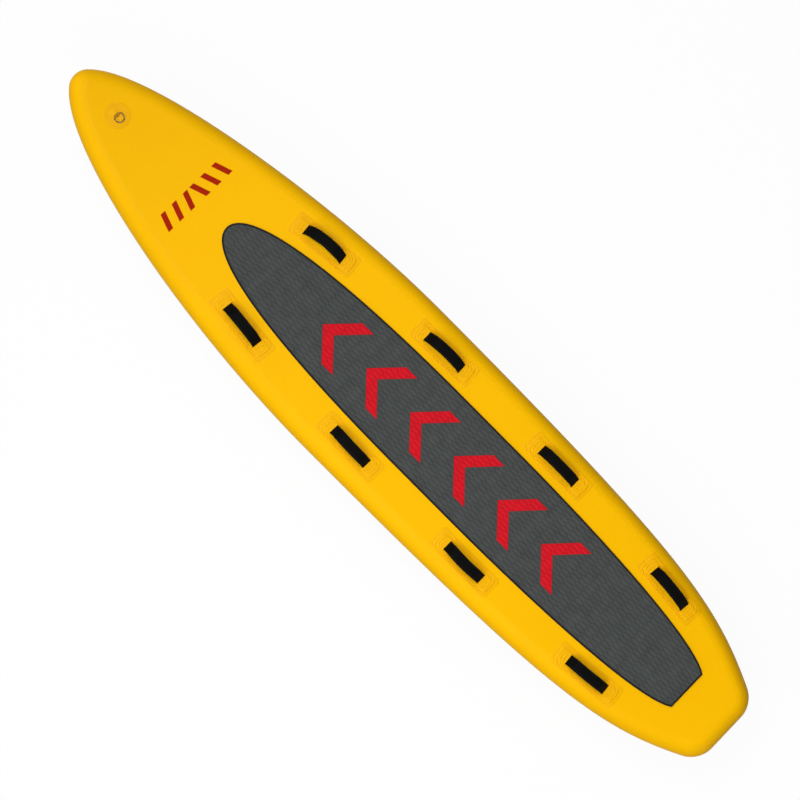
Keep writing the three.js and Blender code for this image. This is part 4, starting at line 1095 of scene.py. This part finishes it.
def ringPatch():
    # a disc with two rims, a raised cover over the tab's tail and a slot for the bar
    r = named(ringSizes)
    top, bar = r.lay + r.patchThickness, r.barAhead
    radii = np.r_[0, np.linspace(4, r.patchRadius - 1.2, 48)]
    rims = sum(np.exp(-((radii - at) / r.rimWidth) ** 2) for at in r.rims) * r.rimHeight
    profile = [(0, r.lay), (r.patchRadius, r.lay), (r.patchRadius, top - 0.5),
               (r.patchRadius - 0.4, top)] + list(zip(radii[::-1], (top + rims)[::-1]))
    disc = makePiece("nose_ring_disc", *revolve(profile, 128), "patch", sharp=50)
    half, tabHalf = r.tabWidth / 2 + r.slotMargin, r.tabWidth / 2 + r.clear
    end = bar + r.tabTail + r.slotMargin
    low, high = r.lay + 0.2, top + r.tabThickness + r.clear
    foot, crown = half + r.coverFoot, half - r.coverCrown
    cover = skinRings([[(x, -foot, low), (x, foot, low), (x, crown, tall), (x, -crown, tall)]
                       for x, tall in ((bar, high), (end - r.coverEnd, high), (end, top + 0.3))])
    disc = cutWith(disc, makePiece("cover tool", *cover, "patch"), "UNION")
    pocket = blockTool("pocket tool", (-20, -tabHalf, -20), (end - r.slotMargin + r.clear, tabHalf,
                       r.tabThickness + 2 * r.clear), "patch")
    pocket = cutWith(pocket, blockTool("pocket limit", (bar, -40, -30), (100, 40, 30), "patch"), "INTERSECT")
    disc = cutWith(disc, pocket, "DIFFERENCE")
    slotHalf = r.wire / 2 + r.play + r.tabThickness + r.slotMargin
    slot = blockTool("slot tool", (bar - slotHalf, -half, -20), (bar + slotHalf, half, 20), "patch")
    return cutWith(disc, slot, "DIFFERENCE")


def ringTab():
    # a loop round the bar and its tail in the pocket
    r = named(ringSizes)
    inner = r.wire / 2 + r.play
    outer = inner + r.tabThickness
    half = r.tabWidth / 2
    section = ((outer, -half), (outer, half), (inner, half), (inner, -half))
    rings = [[(radius * c + r.barAhead, y, radius * s + barHeight) for radius, y in section]
             for c, s in circle(48)]
    loop = makePiece("nose_ring_strap", *skinRings(rings, closedAlong=True), "tab", sharp=40)
    # the tail ends just inside the loop, so that the two melt together cleanly
    tail = blockTool("tail tool", (r.barAhead + 0.6, -half + 0.05, r.clear + 0.04),
                     (r.barAhead + r.tabTail, half - 0.05, r.clear + r.tabThickness - 0.08), "tab")
    return cutWith(loop, tail, "UNION")


def ringWire():
    # the bar, two small corners, two legs and the round bow, as one bent wire
    r = named(ringSizes)
    half = (r.width - r.wire) / 2
    path = []
    for x, y, radius, begin, end, steps in ((-r.corner, half - r.corner, r.corner, 0, 90, 10),
                                            (-r.leg, 0, half, 90, 270, 44),
                                            (-r.corner, r.corner - half, r.corner, -90, 0, 10)):
        for step in range(steps + 1):
            a = math.radians(begin + (end - begin) * step / steps)
            path.append((x + radius * math.cos(a), y + radius * math.sin(a)))
    path = np.array(path)
    rings = []
    for k, point in enumerate(path):
        way = path[(k + 1) % len(path)] - path[k - 1]
        way /= np.linalg.norm(way)
        ring = []
        for c, s in circle(18):
            out, high = r.wire / 2 * c, r.wire / 2 * s
            ring.append((point[0] + way[1] * out + r.barAhead, point[1] - way[0] * out, high + barHeight))
        rings.append(ring)
    points, faces = skinRings(rings, closedAlong=True)
    return onSlope(points), faces


def ringTack():
    # two rows of dark stitches across the tab: real bar-tack stitching that also stands in as a painted dark
    # line of shade along the bar
    r = named(ringSizes)
    z = r.clear + r.tabThickness + 0.1
    rows = [[(r.barAhead + x, y, z) for y in np.linspace(-r.tackHalf, r.tackHalf, 12)]
            for x in r.tackRows]
    return stitched("nose_ring_bar_tack", rows, r.tackPitch, r.tackLength, r.tackRadius)


placed(ringPatch(), draped, "hull", "patch_yellow", "nose_ring_patch")
placed(ringTab(), onSlope, "hull", "tab_yellow", "nose_ring_tab")
placed(ringTack(), onSlope, "hull", "tab_yellow", "nose_ring_tab")
settle(makePiece("nose_ring_wire", *ringWire(), "steel"), "nose_ring", "ring_steel", "nose_ring")
say("nose ring fitted")

# inflation valve, drawn standing up and turned over under the board
valveSizes = {
    "flange": 31.0, "flangeThickness": 3.0, "barrel": 20.0, "throat": 15.0, "depth": 34.0, "seat": 10.0,
    "seatThickness": 3.0, "collar": 22.0, "collarHeight": 3.6, "hub": 5.5, "hubLength": 6.0,
    "spokeWidth": 2.4, "spokeHeight": 3.0, "stem": 2.0, "button": 5.0, "buttonThickness": 2.4, "bore": 2.4,
    "recess": 7.0, "travel": 5.0, "plate": 10.5, "plateThickness": 2.0, "seal": 12.5, "sealThickness": 2.4,
    "springWire": 0.9, "springRadius": 3.15, "springTurns": 4, "nut": 28.0, "nutThickness": 6.0,
    "nutLugs": 24, "nutLugDepth": 1.0, "cap": 28.0, "crown": 2.6, "plug": 4.0, "ribWidth": 5.0,
    "ribHeight": 2.6, "ribLength": 45.0, "ringWall": 3.4, "ringThickness": 1.8, "tabWidth": 9.0,
    "tabReach": 5.0, "clear": 0.3, "knurls": 36, "knurlDepth": 0.5, "skin": 1.2, "sunk": 0.02,
}


def filleted(profile, radius, steps=3):
    # a closed profile with its corners rounded, apart from those on the axis and never past 0.4 of a side
    rounded = []
    for k, point in enumerate(profile):
        here = np.array(point, float)
        if here[0] < 1e-6:
            rounded.append(tuple(here))
            continue
        before, after = [np.array(profile[other % len(profile)], float) - here for other in (k - 1, k + 1)]
        start, end = [here + way * (min(radius, 0.4 * np.linalg.norm(way)) / np.linalg.norm(way))
                      for way in (before, after)]
        for step in range(steps + 1):
            t = step / steps
            rounded.append(tuple((1 - t) ** 2 * start + 2 * t * (1 - t) * here + t * t * end))
    return rounded


def turnedPiece(name, profile, finishName, radius=0.6, lugs=None):
    # a lathe form; lugs are small grips round the widest part: count, radius and depth
    points, faces = revolve(filleted(profile, radius), 144 if lugs else 96)
    if lugs:
        count, widest, depth = lugs
        reach = np.hypot(points[:, 0], points[:, 1])
        angle = np.arctan2(points[:, 1], points[:, 0])
        wave = np.clip(np.cos(angle * count) * 2.5, -1, 1) * 0.5 + 0.5
        shrink = np.where(reach > widest - 0.8, 1 - wave * depth / np.maximum(reach, 1e-6), 1)
        points[:, :2] *= shrink[:, None]
    return makePiece(name, points, faces, finishName, sharp=35)


def squareRing(inner, outer, low, high):
    # the profile of a plain ring
    return [(inner, high), (inner, low), (outer, low), (outer, high)]


def starOf(name, count, length, width, low, high, through=False):
    # bars out from the middle, or right across it
    begin, fullTurn = (-length, math.pi) if through else (0.0, 2 * math.pi)
    bars = []
    for k in range(count):
        bar = blockTool("%s %d" % (name, k), (begin, -width / 2, low), (length, width / 2, high), "valve")
        movePoints(bar, lambda points, angle=fullTurn * k / count: turned(points, angle))
        bars.append(bar)
    return bars


def underValve(points):
    return points * [1, -1, -1] + [valveX, 0, 0]


def valveHeights():
    v = named(valveSizes)
    flangeTop = v.clear + v.flangeThickness
    collarTop = flangeTop + v.collarHeight
    sealTop = -v.depth - v.clear
    return SimpleNamespace(flangeTop=flangeTop, collarTop=collarTop, sealTop=sealTop,
                           hubLow=v.seatThickness - v.depth + v.travel, plungerTop=collarTop - v.recess,
                           plateTop=sealTop - v.sealThickness - v.clear, ringLow=flangeTop + v.clear)


def valveShell():
    # barrel with flange, collar and seat, and a hub on three arms that guides the stem
    v, at = named(valveSizes), valveHeights()
    seatTop, hubLow, hubHigh = v.seatThickness - v.depth, at.hubLow, at.hubLow + v.hubLength
    body = turnedPiece("valve_shell", [
        (v.throat, at.collarTop), (v.throat, seatTop), (v.seat, seatTop), (v.seat, -v.depth),
        (v.barrel, -v.depth), (v.barrel, v.clear), (v.flange, v.clear),
        (v.flange, at.flangeTop), (v.collar, at.flangeTop), (v.collar, at.collarTop)], "valve")
    hubLine = [(0, hubLow), (v.hub, hubLow), (v.hub, hubHigh), (0, hubHigh)]
    hub = turnedPiece("hub tool", hubLine, "valve", 0.4)
    for arm in starOf("arm tool", 3, (v.throat + v.barrel) / 2, v.spokeWidth, hubLow + v.sunk,
                      hubLow + v.spokeHeight):
        hub = cutWith(hub, arm, "UNION")
    body = cutWith(body, hub, "UNION")
    bore = turnedPiece("bore tool", [(0, -100), (v.bore, -100), (v.bore, 100), (0, 100)], "valve", 0)
    return cutWith(body, bore, "DIFFERENCE")


def clampNut():
    v = named(valveSizes)
    top = -v.skin - v.clear
    low, inner = top - v.nutThickness, v.barrel + v.clear
    return turnedPiece("valve_clamp_nut", [(inner, top), (inner, low), (v.nut, low), (v.nut, top)], "valve",
                       lugs=(v.nutLugs, v.nut, v.nutLugDepth))


def pushStem():
    v, at = named(valveSizes), valveHeights()
    top, plateTop = at.plungerTop, at.plateTop
    shoulder, end = top - v.buttonThickness, plateTop - v.plateThickness
    return turnedPiece("valve_push_stem", [
        (0, top), (v.button, top), (v.button, shoulder), (v.stem, shoulder), (v.stem, plateTop),
        (v.plate, plateTop), (v.plate, end), (0, end)], "valve", 0.5)


def sealRing():
    v, top = named(valveSizes), valveHeights().sealTop
    profile = squareRing(v.stem + v.clear, v.seal, top - v.sealThickness, top)
    return turnedPiece("valve_seal_ring", profile, "seal", 0.7)


def coilSpring():
    v, at = named(valveSizes), valveHeights()
    low = at.hubLow + v.hubLength + v.clear + v.springWire / 2
    high = at.plungerTop - v.buttonThickness - v.clear - v.springWire / 2
    perTurn = 40
    steps = v.springTurns * perTurn
    rings = []
    for k in range(steps + 1):
        a = 2 * math.pi * k / perTurn
        z = low + (high - low) * k / steps
        ring = []
        for c, s in circle(10):
            out = v.springRadius + v.springWire / 2 * c
            ring.append((out * math.cos(a), out * math.sin(a), z + v.springWire / 2 * s))
        rings.append(ring)
    return makePiece("valve_coil_spring", *skinRings(rings), "spring")


def capStrap():
    # the cap's ring round the collar, with its pull tab
    v, low = named(valveSizes), valveHeights().ringLow
    inner = v.collar + v.clear
    high = low + v.ringThickness
    strap = turnedPiece("valve_cap_strap", squareRing(inner, inner + v.ringWall, low, high), "valve", 0.5)
    tab = blockTool("tab tool", (inner + v.ringWall / 2, -v.tabWidth / 2, low + 0.05),
                    (v.cap + v.tabReach, v.tabWidth / 2, high - 0.05), "valve")
    return cutWith(strap, tab, "UNION")


def screwCap():
    v, at = named(valveSizes), valveHeights()
    seat, inner = at.collarTop + v.clear, v.collar + v.clear
    top, plug, plugLow = seat + v.crown, v.throat - 2 * v.clear, seat - v.plug
    skirtLow = at.ringLow + v.ringThickness + v.clear
    cap = turnedPiece("valve_screw_cap", [
        (0, top), (0, plugLow), (plug, plugLow), (plug, seat), (inner, seat), (inner, skirtLow),
        (v.cap, skirtLow), (v.cap, seat), (v.cap - v.crown, top)], "valve",
        lugs=(v.knurls, v.cap, v.knurlDepth))
    for rib in starOf("rib tool", 2, v.ribLength / 2, v.ribWidth, seat + v.crown / 2,
                      top + v.ribHeight - v.sunk, through=True):
        cap = cutWith(cap, rib, "UNION")
    return cap


placed(valveShell(), underValve, "hull", "valve_grey", "valve_body")
placed(clampNut(), underValve, "hull", "valve_grey", "valve_nut")
placed(pushStem(), underValve, "valve_plunger", "valve_grey", "valve_plunger")
placed(sealRing(), underValve, "valve_plunger", "seal_black", "valve_seal")
spring = coilSpring()
movePoints(spring, underValve)
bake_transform(spring)
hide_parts("valve_spring")
placed(capStrap(), underValve, "valve_cap_ring", "valve_grey", "valve_cap_ring")
placed(screwCap(), underValve, "valve_cap", "valve_grey", "valve_cap")
say("valve fitted")

# fin box and fin, drawn standing up and turned over under the tail
finSizes = {
    "x": -1420.0, "boxLength": 236.0, "boxWidth": 34.0, "boxDepth": 26.0, "flange": 22.0,
    "flangeThickness": 2.6, "endWall": 12.0, "chamfer": 3.0, "rootWidth": 22.0, "rootDepth": 6.0,
    "webThickness": 9.0, "rootLength": 206.0, "rootCover": 4.0, "rootChamfer": 0.6, "depth": 205.0,
    "rake": 0.62, "leadingBack": 0.167, "leadingUp": 0.5, "tipLength": 0.3, "tipMiddle": 0.1,
    "trailingBack": 0.15, "trailingUp": 0.5, "edge": 9.0, "pullTab": 14.0, "pullHeight": 5.0, "clear": 0.3,
    "thinning": 0.45, "slenderness": 0.24,
}


def underTail(points):
    return points * [1, -1, -1] + [finSizes["x"], 0, 0]


def alongX(section, low, high):
    return skinRings([[(x, y, z) for y, z in section] for x in (low, high)])


def chamfered(half, low, high, corner):
    # the section of a bar with four small corners
    return [(-half, low + corner), (corner - half, low), (half - corner, low), (half, low + corner),
            (half, high - corner), (half - corner, high), (corner - half, high), (-half, high - corner)]


def finBox():
    # an oval flange with a channel on it, slotted for the fin's root
    f = named(finSizes)
    half, clear, c = f.boxWidth / 2, f.clear, f.chamfer
    flangeHalf = half + f.flange
    reach = f.boxLength / 2 + f.flange - flangeHalf
    ends = []
    for sign in (1, -1):
        for k in range(33):
            a = -math.pi / 2 + math.pi * k / 32 + (0 if sign > 0 else math.pi)
            ends.append((sign * reach, math.cos(a), math.sin(a)))
    rows = ((0, clear), (0, f.flangeThickness - 0.6), (0.3, f.flangeThickness - 0.1),
            (1.2, f.flangeThickness + clear))
    rings = [[(x + (flangeHalf - inset) * cos, (flangeHalf - inset) * sin, z) for x, cos, sin in ends]
             for inset, z in rows]
    flange = makePiece("fin_box_shell", *skinRings(rings), "finBox", sharp=40)
    foot, depth = clear + 0.05, f.boxDepth
    walls = [(-half, foot), (half, foot), (half, depth - c), (half - 0.9, depth - 0.9), (half - c, depth),
             (c - half, depth), (0.9 - half, depth - 0.9), (-half, depth - c)]
    body = makePiece("walls tool", *alongX(walls, -f.boxLength / 2, f.boxLength / 2), "finBox")
    box = cutWith(flange, body, "UNION")
    start = f.endWall - f.boxLength / 2
    rootTop = depth - f.rootCover
    wide, web = f.rootWidth / 2 + clear, f.webThickness / 2 + clear
    for name, side, low, high in (("wide tool", wide, rootTop - f.rootDepth - clear, rootTop + clear),
                                  ("narrow tool", web, rootTop - f.rootDepth / 2, 400)):
        slot = blockTool(name, (start, -side, low), (start + 400, side, high), "finBox")
        box = cutWith(box, slot, "DIFFERENCE")
    return box


def finBlade():
    # a swept foil: thick at the root, thin at the tip, rounded in front and sharp behind
    f = named(finSizes)
    start = f.endWall + f.clear - f.boxLength / 2
    base = f.boxDepth + f.clear
    chord = f.rootLength - f.pullTab - 2 * f.edge
    tall = f.depth - base
    front = start + f.rootLength - f.pullTab - f.edge
    tip, tipTop = front - chord - f.rake * chord, base + tall - f.edge
    tipMiddle = np.array([tip + f.tipMiddle * chord, tipTop])
    lead, leadOut = bezier(
        np.array([front, base]), np.array([front - f.leadingBack * chord, base + f.leadingUp * tall]),
        np.array([tip + f.tipLength * chord, tipTop]), tipMiddle, 200)
    trail, trailOut = bezier(
        tipMiddle, np.array([tip, tipTop]),
        np.array([tip + f.trailingBack * chord, base + f.trailingUp * tall]),
        np.array([front - chord, base]), 200)
    outline = np.vstack([lead + leadOut * f.edge, trail + trailOut * f.edge])
    top = outline[:, 1].max()
    heights = base + (top - base) * np.sin(np.linspace(0, math.pi / 2, 60))
    rings = []
    for z in heights[:-1]:
        crossings = [a[0] + (b[0] - a[0]) * (z - a[1]) / (b[1] - a[1])
                     for a, b in zip(outline[:-1], outline[1:])
                     if (a[1] - z) * (b[1] - z) <= 0 and a[1] != b[1]]
        nose, tail = max(crossings), min(crossings)
        rise = (z - base) / (top - base)
        thick = (f.webThickness * (1 - f.thinning * rise) * math.sqrt(max(0.03, 1 - rise ** 6))) / 2
        thick = min(thick, (nose - tail) * f.slenderness)
        ring = []
        for k, (c, s) in enumerate(circle(48)):
            share = (1 + c) / 2
            form = 1.75 * (1 - share) ** 0.5 * (0.12 + 0.88 * share ** 0.75)  # fullest near the front
            y = thick * min(1, form) * (1 if s >= 0 else -1)
            ring.append((tail + (nose - tail) * share, 0 if k in (0, 24) else y, z))
        rings.append(ring)
    return skinRings(rings)


def fin():
    f = named(finSizes)
    start = f.endWall + f.clear - f.boxLength / 2
    end, rootTop = start + f.rootLength, f.boxDepth - f.rootCover
    half, low, out = f.rootWidth / 2, rootTop - f.rootDepth, f.boxDepth + f.clear
    piece = makePiece("fin_foil", *alongX(chamfered(half, low, rootTop, f.rootChamfer), start, end), "fin",
                      sharp=35)
    web = blockTool("web tool", (start + 0.02, -f.webThickness / 2, rootTop - f.rootDepth / 2),
                    (end - 0.02, f.webThickness / 2, out + 0.02), "fin")
    pull = blockTool("pull tool", (end - f.pullTab, -half, out), (end, half, out + f.pullHeight), "fin")
    blade = makePiece("blade tool", *finBlade(), "fin", sharp=60)
    for tool in (web, pull, blade):
        piece = cutWith(piece, tool, "UNION")
    return piece


placed(finBox(), underTail, "hull", "fin_box_black", "fin_box")
placed(fin(), underTail, "fin", "fin_black", "fin")
say("fin box and fin fitted")

# the chamber's lengths are the CAD's own meshes
for i in range(7):
    for coreSlot in bpy.data.objects["drop_stitch_core_%d" % (i + 1)].material_slots:
        coreSlot.material = finishes["chamber"]
